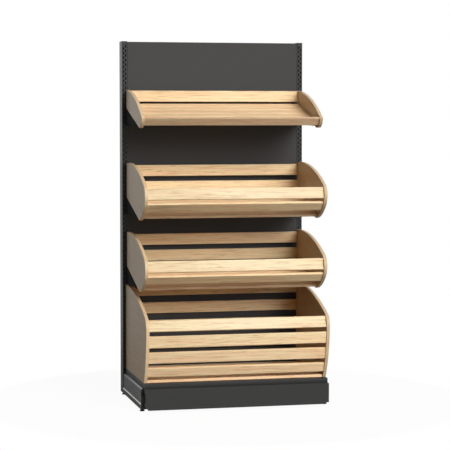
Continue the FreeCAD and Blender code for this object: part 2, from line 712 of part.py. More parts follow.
def deck():
    """The bottom shelf: a tray upside down, its folds standing on the legs."""
    outside = block("-deck_half", "face_y - deck_reach", "leg_top",
                    "2 * deck_half", "deck_reach - fit_gap", "deck_fold")
    hollow = block("deck_sheet - deck_half", "face_y - deck_reach + deck_sheet", "leg_top - deck_sheet",
                   "2 * (deck_half - deck_sheet)", "deck_reach - fit_gap - 2 * deck_sheet", "deck_fold")
    return cut(outside, hollow)


def deck_rib(share):
    """A hat-shaped stiffener across the deck, at a share of its depth."""
    y = "face_y - %s * deck_reach - rib_width / 2" % share
    outside = block("deck_sheet - deck_half", y, "deck_top - deck_sheet - rib_depth",
                    "2 * (deck_half - deck_sheet)", "rib_width", "rib_depth")
    hollow = block("-deck_half", y + " + rib_sheet", "deck_top - deck_sheet - rib_depth + rib_sheet",
                   "2 * deck_half", "rib_width - 2 * rib_sheet", "rib_depth")
    return cut(outside, hollow)


def kick_end():
    """The kick plate's left end, bent back, with two hooks for the leg."""
    parts = [block("-kick_half", "face_y - kick_reach", "kick_foot + kick_corner", "kick_ear",
                   "leg_front_y - fit_gap - (face_y - kick_reach)",
                   "leg_top - ear_drop - kick_foot - kick_corner")]
    for rows in ("0", "kick_slot_rows"):
        level = "floor_gap + kick_slot_rise - %s * slot_pitch" % rows
        parts += hook("-kick_half", level, "leg_front_y", "end_plate", "kick_ear")
    return fuse(*parts)


def kick_plate():
    """The face with its bevelled lower corners, its folds and its two ends."""
    face = plate("XZ_Plane", (("-kick_bevel_x", "0"), ("kick_bevel_x", "0"), ("kick_half", "kick_corner"),
                              ("kick_half", "kick_height"), ("-kick_half", "kick_height"),
                              ("-kick_half", "kick_corner")), "kick_sheet")
    face.Tip.Reversed = True
    place(face, "0", "face_y - kick_reach", "kick_foot")
    top = block("-kick_half", "face_y - kick_reach", "kick_foot + kick_height - kick_sheet",
                "2 * kick_half", "kick_fold", "kick_sheet")
    foot = block("-kick_bevel_x", "face_y - kick_reach", "kick_foot",
                 "2 * kick_bevel_x", "kick_fold", "kick_sheet")
    return fuse(face, top, foot, *both(kick_end()))


def kick_clip(level):
    """A plastic clip pushed on the kick plate's left end."""
    return block("-kick_half - clip_thick", "face_y - kick_reach", "kick_foot + %s" % level,
                 "clip_thick", "clip_depth", "clip_height")


two_nodes("base_leg", base_leg())
two_nodes("base_shoe", base_shoe())
node("leg_front_plates", group(*both(front_plate())))
node("leg_hook_plates", group(*both(leg_hooks())))
node("deck", deck())
node("deck_ribs", group(deck_rib("1 / 3"), deck_rib("2 / 3")))
node("kick_plate", kick_plate())
node("kick_plate_clips", group(*both(kick_clip("clip_low"), kick_clip("clip_high"))))


# --------------------------------------------------------------- the boards

class Profile:
    """The outline of a side board, from its lower front corner to its top."""

    def __init__(self, path):
        """path is (reach, rise, radius of the arc to the next) aliases, upwards."""
        self.path = [(size(reach), size(rise), size(radius) if radius else None)
                     for reach, rise, radius in path]

    def reach_at(self, rise):
        """How far forward the outline lies at a height."""
        for (x1, y1, radius), (x2, y2, _) in zip(self.path, self.path[1:]):
            if y1 <= rise <= y2:
                if radius is None:
                    return x1 + (x2 - x1) * (rise - y1) / (y2 - y1)
                chord = math.hypot(x2 - x1, y2 - y1)
                depth = math.sqrt(radius ** 2 - (chord / 2) ** 2)
                middle_x = (x1 + x2) / 2 - depth * (y2 - y1) / chord
                middle_y = (y1 + y2) / 2 + depth * (x2 - x1) / chord
                return middle_x + math.sqrt(radius ** 2 - (rise - middle_y) ** 2)
        return self.path[0][0] if rise < self.path[0][1] else 0.0

    def slat(self, foot, width):
        """Lower corner, lean and top of a slat laid on the outline from a height."""
        inset = size("board_inset")
        start = self.reach_at(foot) - inset
        low, high = foot, foot + width
        for _ in range(40):
            top = (low + high) / 2
            far = math.hypot(self.reach_at(top) - inset - start, top - foot) > width
            low, high = (low, top) if far else (top, high)
        lean = math.degrees(math.atan2(self.reach_at(top) - inset - start, top - foot))
        return start, foot, lean, top

    def floor_end(self, lift, slope, margin):
        """How far down the slope a floor reaches before it meets the outline."""
        low, high = 0.0, 2 * max(reach for reach, _, _ in self.path)
        for _ in range(40):
            along = (low + high) / 2
            reach = along * math.cos(slope) + lift * math.sin(slope)
            rise = lift * math.cos(slope) - along * math.sin(slope)
            inside = reach < self.reach_at(rise + 0.001) - margin
            low, high = (along, high) if inside else (low, along)
        return along


def slat(half, y, z, thick, wide, lean=None):
    """A board between the side boards, its ends in their housings."""
    board = block("side_thick - housing - %s" % half, y, z,
                  "2 * (%s - side_thick + housing)" % half, thick, wide, lean)
    soft = doc.addObject("Part::Fillet", "Slat")
    soft.Base = board
    radius = size("board_round")
    soft.Edges = [(number, radius, radius) for number in LONG_EDGES]
    return soft


def front_slats(unit, profile):
    """Slats laid along the curved front, from the lowest upwards."""
    made = []
    foot = size(unit["front_foot"])
    for width in unit["fronts"]:
        reach, rise, lean, top = profile.slat(foot, size(width))
        made.append(slat(unit["half"], size(unit["back_y"]) - reach, size(unit["seat_z"]) + rise,
                         "board_thick", width, lean))
        foot = top + size(unit["front_gap"])
    return made


def back_boards(unit):
    """Upright boards across the back, from the highest downwards."""
    y = "%s - board_setback - board_thick" % unit["back_y"]
    return [slat(unit["half"], y, "%s + %s - %s - board_width - %d * (board_width + %s)"
                 % (unit["seat_z"], unit["back"], unit["back_drop"], number, unit["back_gap"]),
                 "board_thick", "board_width") for number in range(unit["backs"])]


def floor_slats(unit, profile):
    """Boards across the floor, spread evenly from the back to the front."""
    slope = math.radians(size(unit["slope"]))
    lift = size(unit["lift"])
    width = size("board_width")
    start = size("floor_start")
    end = profile.floor_end(lift, slope, size("board_inset") + unit["floor_margin"])
    step = (end - start - width) / (unit["floors"] - 1)
    made = []
    for number in range(unit["floors"]):
        along = start + number * step + width
        y = size(unit["back_y"]) - along * math.cos(slope) - lift * math.sin(slope)
        z = size(unit["seat_z"]) - along * math.sin(slope) + lift * math.cos(slope)
        made.append(slat(unit["half"], y, z, "board_width", "board_thick", size(unit["slope"])))
    return made


def turn_at(shape, edge):
    """The angle between the two faces that meet at an edge, in degrees."""
    point = edge.valueAt(edge.FirstParameter)
    normals = [face.normalAt(*face.Surface.parameter(point))
               for face in shape.ancestorsOfType(edge, Part.Face)]
    return math.degrees(normals[0].getAngle(normals[1]))


def soften(body):
    """Round a side board's corners, then its edges all round on both faces."""
    doc.recompute()
    shape = body.Tip.Shape
    across = edge_numbers(shape, FreeCAD.Vector(1, 0, 0))
    sharp = [number for number in across if turn_at(shape, shape.Edges[number - 1]) > 2]
    fillet(body, ["Edge%d" % number for number in sharp], "side_corner")
    broad = [number for number, face in enumerate(body.Tip.Shape.Faces, start=1)
             if abs(face.normalAt(0, 0).x) > 0.999]
    fillet(body, ["Face%d" % number for number in broad], "side_round")


def locating_pin(unit, along, radius, height):
    """A pin square to the sloping ledge, in the middle of the left side board."""
    y = "%s - %s * cos(tilt * 1 deg) + ledge_thick * sin(tilt * 1 deg)" % (unit["back_y"], along)
    z = "%s - %s * sin(tilt * 1 deg) - ledge_thick * cos(tilt * 1 deg)" % (unit["seat_z"], along)
    pin = doc.addObject("Part::Cylinder", "Pin")
    bind(pin, {"Radius": radius, "Height": "%s + ledge_thick" % height})
    return place(pin, "side_thick / 2 - hung_half", y, z, "tilt")


def side_board(unit, slats):
    """The left side board, with a housing for each slat's end and the pins' holes."""
    # The sketch's first axis points backwards, so reaches are negative there.
    corners = [("0", "0")] + [("-" + reach, rise) for reach, rise, _ in unit["path"]]
    radii = {number + 1: radius for number, (_, _, radius) in enumerate(unit["path"]) if radius}
    body = plate("YZ_Plane", corners, "side_thick", radii)
    soften(body)
    place(body, "-%s" % unit["half"], unit["back_y"], unit["seat_z"])
    holes = [locating_pin(unit, along, "pin_size / 2 + pin_play", "pin_height + pin_play")
             for along in ("pin_first", "pin_last")] if unit["hung"] else []
    return cut(body, *slats, *holes)


def wooden_unit(unit):
    """The side boards and slats of one tray or basket."""
    profile = Profile(unit["path"])
    fronts = front_slats(unit, profile)
    backs = back_boards(unit)
    floors = floor_slats(unit, profile)
    two_nodes(unit["name"] + "_side", side_board(unit, fronts + backs + floors))
    node("%s_front_%s" % (unit["name"], "board" if len(fronts) == 1 else "slats"), group(*fronts))
    node("%s_back_%s" % (unit["name"], "board" if len(backs) == 1 else "boards"), group(*backs))
    node("%s_floor_slats" % unit["name"], group(*floors))


TRAY_PATH = (("tray_tip_reach", "-tray_tip_drop", "tray_chin"),
             ("tray_reach", "-tray_brow_drop", "tray_crown"), ("0", "tray_back", None))
BASKET_PATH = (("basket_tip_reach", "-basket_tip_drop", "basket_jaw"),
               ("basket_chin_reach", "-basket_chin_drop", "basket_chin"),
               ("basket_reach", "basket_nose_rise", "basket_brow"),
               ("basket_brow_reach", "basket_brow_rise", "basket_crown"), ("0", "basket_back", None))
BIN_PATH = (("bin_tip_reach", "0", "bin_front"), ("bin_reach", "bin_nose_rise", "bin_brow"),
            ("bin_brow_reach", "bin_brow_rise", "bin_crown"), ("0", "bin_back", None))

HUNG = {"half": "hung_half", "back_y": "hung_back_y", "slope": "tilt", "lift": "floor_lift",
        "floors": 6, "hung": True}
UNITS = (
    dict(HUNG, name="tray", seat_z="tray_z", seat_rise="tray_seat", path=TRAY_PATH, back="tray_back",
         fronts=("lip_width",), front_foot="-lip_foot", front_gap="basket_front_gap",
         backs=1, back_drop="tray_back_drop", back_gap="basket_back_gap",
         floor_margin=1.4 * size("board_thick")),
    dict(HUNG, name="upper_basket", seat_z="high_z", seat_rise="basket_seat", path=BASKET_PATH,
         back="basket_back", fronts=("board_width", "board_width"),
         front_foot="-basket_front_foot", front_gap="basket_front_gap",
         backs=2, back_drop="basket_back_drop", back_gap="basket_back_gap", floor_margin=0),
    {"name": "bottom_basket", "half": "bin_half", "back_y": "bin_back_y", "seat_z": "deck_top",
     "path": BIN_PATH, "slope": "0", "lift": "0", "floors": 7, "hung": False, "back": "bin_back",
     "fronts": ("bin_low_width", "board_width", "board_width", "board_width"),
     "front_foot": "bin_front_foot", "front_gap": "bin_front_gap", "backs": 4,
     "back_drop": "bin_back_drop", "back_gap": "bin_back_gap", "floor_margin": 0},
)


# ------------------------------------------------------------- the brackets

def bracket(unit):
    """A plate hooked in the inner slots, with a ledge under the side board."""
    corners = (("arm_behind", "arm_rise"), ("arm_shoulder", "arm_rise"), ("arm_shoulder", "arm_corner"),
               ("-arm_reach", "-arm_end_drop"), ("-arm_reach", "-arm_end_foot"), ("arm_behind", "-arm_root"))
    arm = plate("YZ_Plane", corners, "arm_thick")
    x = "-slot_x - arm_thick / 2"
    place(arm, x, unit["back_y"], unit["seat_z"])
    ledge = block(x, "%s - arm_reach + (ledge_thick + fit_gap) * sin(tilt * 1 deg)" % unit["back_y"],
                  "%s - arm_reach * tan(tilt * 1 deg) - (ledge_thick + fit_gap) * cos(tilt * 1 deg)"
                  % unit["seat_z"], "ledge_width", "arm_reach / cos(tilt * 1 deg)", "ledge_thick", "tilt")
    pins = [locating_pin(unit, along, "pin_size / 2", "pin_height") for along in ("pin_first", "pin_last")]
    hooks = []
    for rows in ("0", "hook_rows"):
        level = "%s - %s - %s * slot_pitch" % (unit["seat_z"], unit["seat_rise"], rows)
        hooks += hook(x, level, "face_y", "upright_wall", "arm_thick")
    return fuse(arm, ledge, *pins, *hooks)


for wooden in UNITS:
    wooden_unit(wooden)
    if wooden["hung"]:
        two_nodes(wooden["name"] + "_bracket", bracket(wooden))
for part_name in [name for name in NODES if name.startswith("upper_basket")]:
    lower(part_name.replace("upper", "lower"), part_name, "high_z - low_z")


# ------------------------------------------------------- checks and export

doc.recompute()
problems = ["%s: %s" % (thing.Label, thing.State) for thing in doc.Objects
            if "Invalid" in thing.State or "Error" in thing.State]
for label, finished in NODES.items():
    if finished.Shape.isNull() or not finished.Shape.isValid() or not finished.Shape.Solids:
        problems.append("%s: no valid solid" % label)
if problems:
    raise RuntimeError("; ".join(problems))

os.makedirs("parts", exist_ok=True)
for label, finished in NODES.items():
    finished.Shape.exportStep(os.path.join("parts", label + ".step"))
    limits = finished.Shape.BoundBox
    print("%-28s %2d solids  X %7.1f %7.1f  Y %7.1f %7.1f  Z %7.1f %7.1f"
          % (label, len(finished.Shape.Solids), limits.XMin, limits.XMax,
             limits.YMin, limits.YMax, limits.ZMin, limits.ZMax))
print(len(NODES), "nodes")
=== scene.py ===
"""Dresses the bakery bread rack: boards, sheet steel, feet, finishes and a plain studio."""

import json
import math

import bpy
import numpy as np
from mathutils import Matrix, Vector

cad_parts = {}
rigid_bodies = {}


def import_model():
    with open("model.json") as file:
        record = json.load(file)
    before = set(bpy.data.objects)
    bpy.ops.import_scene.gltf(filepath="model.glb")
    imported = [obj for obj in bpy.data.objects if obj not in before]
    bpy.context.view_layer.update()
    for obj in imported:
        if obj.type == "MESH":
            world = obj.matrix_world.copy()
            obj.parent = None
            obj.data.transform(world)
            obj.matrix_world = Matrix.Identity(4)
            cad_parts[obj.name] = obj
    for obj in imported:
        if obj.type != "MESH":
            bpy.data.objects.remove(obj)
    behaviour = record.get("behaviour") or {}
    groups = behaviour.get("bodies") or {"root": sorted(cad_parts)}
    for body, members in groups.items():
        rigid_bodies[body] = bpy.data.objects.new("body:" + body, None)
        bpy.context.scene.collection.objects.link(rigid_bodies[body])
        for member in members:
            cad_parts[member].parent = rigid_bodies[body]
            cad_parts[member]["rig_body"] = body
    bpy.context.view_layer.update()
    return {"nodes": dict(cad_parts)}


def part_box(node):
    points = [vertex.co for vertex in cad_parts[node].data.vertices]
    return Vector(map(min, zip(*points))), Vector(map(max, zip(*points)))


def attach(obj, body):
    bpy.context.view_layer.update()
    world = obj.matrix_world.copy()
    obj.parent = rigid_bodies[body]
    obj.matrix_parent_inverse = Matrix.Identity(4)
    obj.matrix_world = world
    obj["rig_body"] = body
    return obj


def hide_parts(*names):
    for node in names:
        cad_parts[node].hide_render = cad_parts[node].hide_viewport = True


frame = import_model()

bl_info = {
    "name": "Bakery bread rack",
    "version": (1, 0, 0),
    "blender": (4, 5, 0),
    "location": "3D Viewport > Sidebar > Bread rack",
    "description": "Builds the boards, sheet steel, feet and finishes of a bakery bread rack",
    "category": "Object",
}

BASKETS = ("upper_basket", "lower_basket", "bottom_basket")
BASKET_GROUPS = ("_front_slats", "_back_boards", "_floor_slats")
SLAT_GROUPS = {
    "tray": ("tray_front_board", "tray_back_board", "tray_floor_slats"),
    **{basket: tuple(basket + group for group in BASKET_GROUPS) for basket in BASKETS},
}
HUNG_UNITS = ("tray", "upper_basket", "lower_basket")
HUNG_SLOPE = math.radians(15)
SIDES = ("left", "right")
FEET = ("front_left", "front_right", "rear_left", "rear_right")

# Tones of single boards: the top front slat, darker to even out the strong light that falls
# on it, the lowest floor slat of a hung basket, darker as painted shade, and the range of all
# others. A few groups are darker as a whole, by a share of their boards' tones, as painted shade.
TOP_SLAT_TONE = 0.93
LOWEST_SLAT_SHADE_TONE = 0.74
USUAL_TONES = (0.99, 1.03)
GROUP_SHADE_TONES = {"tray_front_board": 0.70, "lower_basket_back_boards": 0.78, "tray_back_board": 0.96}

# Side boards: each hand's share of their tone, painted light and shade that makes the left boards
# lighter and the right ones darker, how rosy they are, and the depths in metres between which
# the cut edge turns into a face.
SIDE_LIGHT_AND_SHADE = {"left": 1.06, "right": 0.88}
SIDE_ROSINESS = 0.55
FACE_BAND = (0.0022, 0.0006)

# How each coat differs from the plain one; powder_coat says what the words mean.
COATS = {
    "anthracite_coat": {},
    "knocked_coat": {"shade": 0.66, "rub": 0.3, "sheen": 0.32},
    "leg_coat": {"glaze": 0.35},
    # Painted highlight: the leg flanges' coat is 3.2 times as light as the plain one.
    "flange_highlight_coat": {"shade": 3.2, "rub": 0.2, "sheen": 0.5, "glaze": 0.5},
    # Painted shade: the brackets' coat is a quarter as light as the plain one.
    "bracket_shade_coat": {"shade": 0.25, "sheen": 0.04, "index": 1.15},
}
TUBE_COAT = {"sheen": 0.15, "glaze": 0.42}
# Colour of the painted shade inside the uprights' tubes and round their slots.
NEARLY_BLACK = (0.004, 0.004, 0.004)

# The uprights' slots, in metres. Each column stands SLOT_COLUMN from its upright's middle, and
# the outer one is half a pitch lower. Painted shade round a slot fades over SLOT_SHADE_RIM, counted from
# the line down the slot's middle. What lies deeper than TUBE_SKIN is the inside of the tube,
# painted nearly black as shade.
UPRIGHT_X = 0.5
SLOT_PITCH = 0.0254
FIRST_SLOT_Z = 0.059
SLOT_COLUMN = 0.0055
SLOT_HALF_STRAIGHT = 0.0045
SLOT_SHADE_RIM = (0.0036, 0.0048)
TOP_OF_SLOTS = 1.947
TUBE_SKIN = 0.0009

# Between these heights the channels under the legs carry a painted highlight: a band of bright
# metal in place of their coat.
HIGHLIGHT_BAND = (0.0390, 0.0398)
HIGHLIGHT_METAL = (0.86, 0.86, 0.85)

# Rounding of moulded parts, of the base legs and of the channels under them, in metres.
MOULDED_ROUNDING = 0.0009
LEG_ROUNDING = 0.0012
CHANNEL_ROUNDING = 0.0007

# Soft patches of light on the dome: degrees to the right of the customer's side, above the
# horizon and in radius, and the setting that holds the strength.
LIGHT_PATCHES = (
    (20, 22, 22, "main_light"),
    (20, 40, 22, "high_light"),
    (-10, 40, 22, "fill_light"),
    (50, 22, 22, "right_light"),
    (-110, 5, 22, "left_light"),
    (180, 20, 40, "rear_light"),
)


# ---------------------------------------------------------------- settings

class WoodSettings(bpy.types.PropertyGroup):
    """Boards and their varnish."""

    pale: bpy.props.FloatVectorProperty(
        name="Pale wood", description="Colour between the growth rings", subtype="COLOR",
        size=3, min=0.0, max=1.0, default=(0.960, 0.775, 0.470))
    dark: bpy.props.FloatVectorProperty(
        name="Ring wood", description="Colour of the growth rings", subtype="COLOR",
        size=3, min=0.0, max=1.0, default=(0.700, 0.470, 0.240))
    rosy: bpy.props.FloatVectorProperty(
        name="Rosy board", description="Tint of the reddest boards", subtype="COLOR",
        size=3, min=0.0, max=1.0, default=(1.0, 0.82, 0.80))
    rounding: bpy.props.FloatProperty(
        name="Edge rounding", description="Radius of the slats' long edges", subtype="DISTANCE",
        unit="LENGTH", min=0.0005, max=0.006, default=0.0025)
    # The side boards' broad faces are darker than the slats by this tone, as painted shade.
    side_face_shade: bpy.props.FloatProperty(
        name="Side board tone", description="Tone of the side boards' broad faces", min=0.3, max=1.0,
        default=0.60)
    gloss: bpy.props.FloatProperty(
        name="Roughness", description="Roughness of the satin varnish", min=0.1, max=1.0, default=0.46)


class SteelSettings(bpy.types.PropertyGroup):
    """Sheet steel and its powder coat."""

    coat: bpy.props.FloatVectorProperty(
        name="Powder coat", description="Colour of the coated steel", subtype="COLOR",
        size=3, min=0.0, max=1.0, default=(0.037, 0.036, 0.035))
    bend: bpy.props.FloatProperty(
        name="Bend radius", description="Outer radius of the sheet's folds", subtype="DISTANCE",
        unit="LENGTH", min=0.0005, max=0.005, default=0.002)
    edge: bpy.props.FloatProperty(
        name="Edge rounding", description="Rounding of cut and welded edges", subtype="DISTANCE",
        unit="LENGTH", min=0.0001, max=0.002, default=0.0005)


class StageSettings(bpy.types.PropertyGroup):
    """Camera, lamps and floor."""

    lens: bpy.props.FloatProperty(
        name="Lens", description="Focal length on a 36 mm sensor", min=20.0, max=400.0, default=136.76)
    place: bpy.props.FloatVectorProperty(
        name="Camera place", description="Where the camera stands", subtype="TRANSLATION",
        unit="LENGTH", size=3, default=(-2.1006, -9.0564, 1.5597))
    yaw: bpy.props.FloatProperty(
        name="Camera yaw", description="Turn to the right from straight ahead", subtype="ANGLE",
        default=math.radians(13.087))
    pitch: bpy.props.FloatProperty(
        name="Camera pitch", description="Tilt above the horizon", subtype="ANGLE",
        default=math.radians(-3.677))
    main_light: bpy.props.FloatProperty(
        name="Main light", description="Strength of the soft light from the front, to the right",
        default=9.2)
    high_light: bpy.props.FloatProperty(
        name="High light", description="Strength of the soft light above the main one", default=4.3)
    fill_light: bpy.props.FloatProperty(
        name="Fill light", description="Strength of the soft light from the front, to the left",
        default=1.5)
    right_light: bpy.props.FloatProperty(
        name="Right light", description="Strength of the soft light from the right", default=1.2)
    left_light: bpy.props.FloatProperty(
        name="Left light", description="Strength of the low light from the left", default=1.8)
    rear_light: bpy.props.FloatProperty(
        name="Rear light", description="Strength of the low light from behind", default=1.0)
    floor: bpy.props.FloatVectorProperty(
        name="Floor", description="Colour of the floor", subtype="COLOR", size=3,
        min=0.0, max=1.0, default=(0.86, 0.86, 0.86))


# ------------------------------------------------------------- node helpers

class Nodes:
    """A short way to build a material's or a world's node tree."""

    def __init__(self, tree):
        self.tree = tree
        tree.nodes.clear()

    def add(self, kind, inputs=None, **settings):
        """A node with its settings; an input is a value or another node's socket."""
        node = self.tree.nodes.new("ShaderNode" + kind)
        for key, value in settings.items():
            setattr(node, key, value)
        for key, value in (inputs or {}).items():
            socket = node.inputs[key]
            if isinstance(value, bpy.types.NodeSocket):
                self.tree.links.new(value, socket)
            else:
                socket.default_value = value
        return node

    def math(self, operation, *values):
        """One sum on one to three numbers or sockets."""
        return self.add("Math", dict(enumerate(values)), operation=operation).outputs[0]

    def vector(self, operation, first, second):
        """One sum on two vectors."""
        return self.add("VectorMath", {0: first, 1: second}, operation=operation).outputs[0]

    def place(self):
        """Where a point is on the object, in metres."""
        return self.add("TexCoord").outputs["Object"]

    def fade(self, value, start, end, first=0.0, last=1.0):
        """A smooth change from first to last while the value goes from start to end."""
        return self.add("MapRange", {"Value": value, "From Min": start, "From Max": end, "To Min": first,
                                     "To Max": last}, interpolation_type="SMOOTHSTEP").outputs[0]

    def mapped(self, vector, **how):
        """A vector moved, turned or scaled, as Location, Rotation or Scale say."""
        return self.add("Mapping", {"Vector": vector, **how}).outputs[0]

    def ramp(self, factor, *stops):
        """A grey or coloured ramp; each stop is a place and a grey or a colour."""
        node = self.add("ValToRGB", {"Fac": factor})
        band = node.color_ramp
        while len(band.elements) < len(stops):
            band.elements.new(1.0)
        for element, (place, tone) in zip(band.elements, stops):
            element.position = place
            element.color = (tone, tone, tone, 1.0) if isinstance(tone, float) else (*tone, 1.0)
        return node.outputs["Color"]

    def blend(self, factor, first, second, mode="MIX"):
        """Two colours mixed; a Mix node has its colours at inputs 6 and 7 and its result at output 2."""
        node = self.add("Mix", {"Factor": factor}, data_type="RGBA", blend_type=mode)
        for socket, value in ((node.inputs[6], first), (node.inputs[7], second)):
            if isinstance(value, bpy.types.NodeSocket):
                self.tree.links.new(value, socket)
            else:
                socket.default_value = (*value, 1.0)
        return node.outputs[2]

    def noise(self, vector, scale, detail, roughness=0.5, **more):
        """Smooth noise between nought and one."""
        return self.add("TexNoise", {"Vector": vector, "Scale": scale, "Detail": detail,
                                     "Roughness": roughness}, **more).outputs["Fac"]

    def finish(self, inputs, height=None, depth=0.0):
        """The surface shader, with a bump from a height field where one is given."""
        if height is not None:
            bump = self.add("Bump", {"Height": height, "Distance": depth, "Strength": 1.0})
            inputs = {**inputs, "Normal": bump.outputs["Normal"]}
        surface = self.add("BsdfPrincipled", inputs)
        self.tree.links.new(surface.outputs[0], self.add("OutputMaterial").inputs["Surface"])


def new_material(name):
    """An empty material and its node helper."""
    material = bpy.data.materials.new(name)
    material.use_nodes = True
    return material, Nodes(material.node_tree)


# ---------------------------------------------------------------- finishes

def wood_pattern(nodes, grain, board, wood, figure, edge=None):
    """Board colour and bump from grain coordinates in metres.

    The first coordinate runs along the fibres, the second across the board and
    the third through it. The board's own three numbers are a place in the
    pattern, how rosy it is and its tone. Figure is how strongly the grain shows,
    and edge marks the cut edges, which are paler than the faces because they
    carry less of the side boards' painted shade.
    """
    along, across, through = nodes.add("SeparateXYZ", {0: grain}).outputs
    place, rosiness, tone = nodes.add("SeparateXYZ", {0: board}).outputs
    own = nodes.math("MULTIPLY", place, 37.0)
    weights = {"rings": 0.22, "streaks": 0.55, "fibres": 0.70, "clouds": 0.65,
               "flecks": 0.35, "knots": 0.50}
    mark_colour = tuple(0.66 * part for part in wood.dark)

    def stretched(lengthwise, crosswise):
        """The grain coordinates in waves a metre along the fibres and across them."""
        return nodes.add("CombineXYZ", {
            0: nodes.math("MULTIPLY", along, lengthwise), 1: nodes.math("MULTIPLY", across, crosswise),
            2: nodes.math("ADD", nodes.math("MULTIPLY", through, crosswise), own)}).outputs[0]

    # Growth rings: distance from the tree's middle, which lies outside the board and wanders.
    drift = nodes.noise(nodes.add("CombineXYZ", {0: nodes.math("MULTIPLY", along, 1.7), 1: own}).outputs[0],
                        1.0, 2.0)
    middle = nodes.math("MULTIPLY", nodes.math("SUBTRACT", place, 0.5), 0.16)
    sideways = nodes.math("ADD", nodes.math("SUBTRACT", across, middle),
                          nodes.math("MULTIPLY", drift, 0.07))
    depth = nodes.math("ADD", through, nodes.math("ADD", nodes.math("MULTIPLY", rosiness, 0.04), 0.03))
    radius = nodes.math("SQRT", nodes.math("ADD", nodes.math("POWER", sideways, 2.0),
                                           nodes.math("POWER", depth, 2.0)))
    rings = nodes.add("TexNoise", {"W": nodes.math("ADD", nodes.math("MULTIPLY", radius, 170.0), own),
                                   "Scale": 1.0, "Detail": 3.0, "Roughness": 0.6},
                      noise_dimensions="1D").outputs["Fac"]
    rings = nodes.ramp(rings, (0.40, 0.0), (0.66, 1.0))

    # Fibres and clouds are noise drawn out along the board, streaks its darkest parts, flecks
    # short dashes, and knots small spots.
    fibres = nodes.noise(stretched(7.0, 420.0), 1.0, 4.0, 0.65)
    streaks = nodes.ramp(nodes.noise(stretched(8.0, 150.0), 1.0, 3.0, 0.6), (0.51, 0.0), (0.61, 1.0))
    flecks = nodes.ramp(nodes.noise(stretched(150.0, 1100.0), 1.0, 1.0), (0.62, 0.0), (0.74, 1.0))
    clouds = nodes.noise(stretched(2.6, 24.0), 1.0, 3.0)
    knots = nodes.add("TexVoronoi", {"Vector": stretched(5.0, 30.0), "Scale": 1.0}).outputs["Distance"]
    knots = nodes.ramp(knots, (0.05, 1.0), (0.13, 0.0))
    share = nodes.math("ADD", nodes.math("MULTIPLY", rings, weights["rings"]),
                       nodes.math("MULTIPLY", streaks, weights["streaks"]))
    for layer, weight in ((fibres, weights["fibres"]), (clouds, weights["clouds"])):
        share = nodes.math("ADD", share, nodes.math("MULTIPLY", nodes.math("SUBTRACT", layer, 0.5), weight))
    share = nodes.add("Clamp", {0: nodes.math("MULTIPLY", share, figure)}).outputs[0]
    colour = nodes.blend(share, wood.pale, wood.dark)
    for marks, weight in ((flecks, weights["flecks"]), (knots, weights["knots"])):
        colour = nodes.blend(nodes.math("MULTIPLY", marks, weight * figure), colour, mark_colour)

    # Rosy patches, paler cut edges and the board's tone, which on some boards is painted shade.
    patchy = nodes.noise(stretched(4.0, 55.0), 1.0, 2.0)
    blush = nodes.math("ADD", rosiness, nodes.math("MULTIPLY", nodes.math("SUBTRACT", patchy, 0.5), 1.8))
    colour = nodes.blend(nodes.add("Clamp", {0: blush}).outputs[0], colour, wood.rosy, "MULTIPLY")
    if edge is not None:
        tone = nodes.math("ADD", tone, nodes.math("MULTIPLY", edge, 0.16))
    colour = nodes.add("VectorMath", {0: colour, "Scale": tone}, operation="SCALE").outputs[0]
    height = nodes.math("SUBTRACT", fibres, nodes.math("MULTIPLY", flecks, 0.4))
    rough = nodes.math("ADD", wood.gloss, nodes.math("MULTIPLY", nodes.math("SUBTRACT", fibres, 0.5), 0.25))
    nodes.finish({"Base Color": colour, "Roughness": rough, "Coat Weight": 0.12, "Coat Roughness": 0.28,
                  "Specular IOR Level": 0.36}, height, 0.00012)


def slat_finish(wood):
    """Varnished slats: grain coordinates and each board's numbers are stored on the slats' own surface."""
    material, nodes = new_material("varnished_slat")
    grain = nodes.add("Attribute", attribute_name="grain").outputs["Vector"]
    board = nodes.add("Attribute", attribute_name="board").outputs["Vector"]
    wood_pattern(nodes, grain, board, wood, 1.0)
    return material


def side_finish(name, wood, anchor, half_thick, slope, place, tone):
    """Varnished side boards: fibres run from back to front, along the floor's slope.

    The anchor is where the pattern starts, in the middle of the board's lower
    rear edge. A point counts as cut edge where it lies deeper in the board's
    thickness than the rounding of its faces. The tone is painted shade on the
    broad faces, and the cut edges carry less of it.
    """
    material, nodes = new_material(name)
    centred = nodes.mapped(nodes.place(), Location=tuple(-part for part in anchor))
    turned = nodes.mapped(centred, Rotation=(-slope, 0.0, 0.0))
    x, y, z = nodes.add("SeparateXYZ", {0: turned}).outputs
    grain = nodes.add("CombineXYZ", {0: y, 1: z, 2: x}).outputs[0]
    board = nodes.add("CombineXYZ", {0: place, 1: SIDE_ROSINESS, 2: tone}).outputs[0]
    inner, outer = (half_thick - depth for depth in FACE_BAND)
    edge = nodes.fade(nodes.math("ABSOLUTE", x), inner, outer, 1.0, 0.0)
    wood_pattern(nodes, grain, board, wood, 0.35, edge)
    return material


def shaded_coat(shade):
    """The steel's colour, lighter or darker."""
    return tuple(shade * part for part in bpy.context.scene.rack_steel.coat)


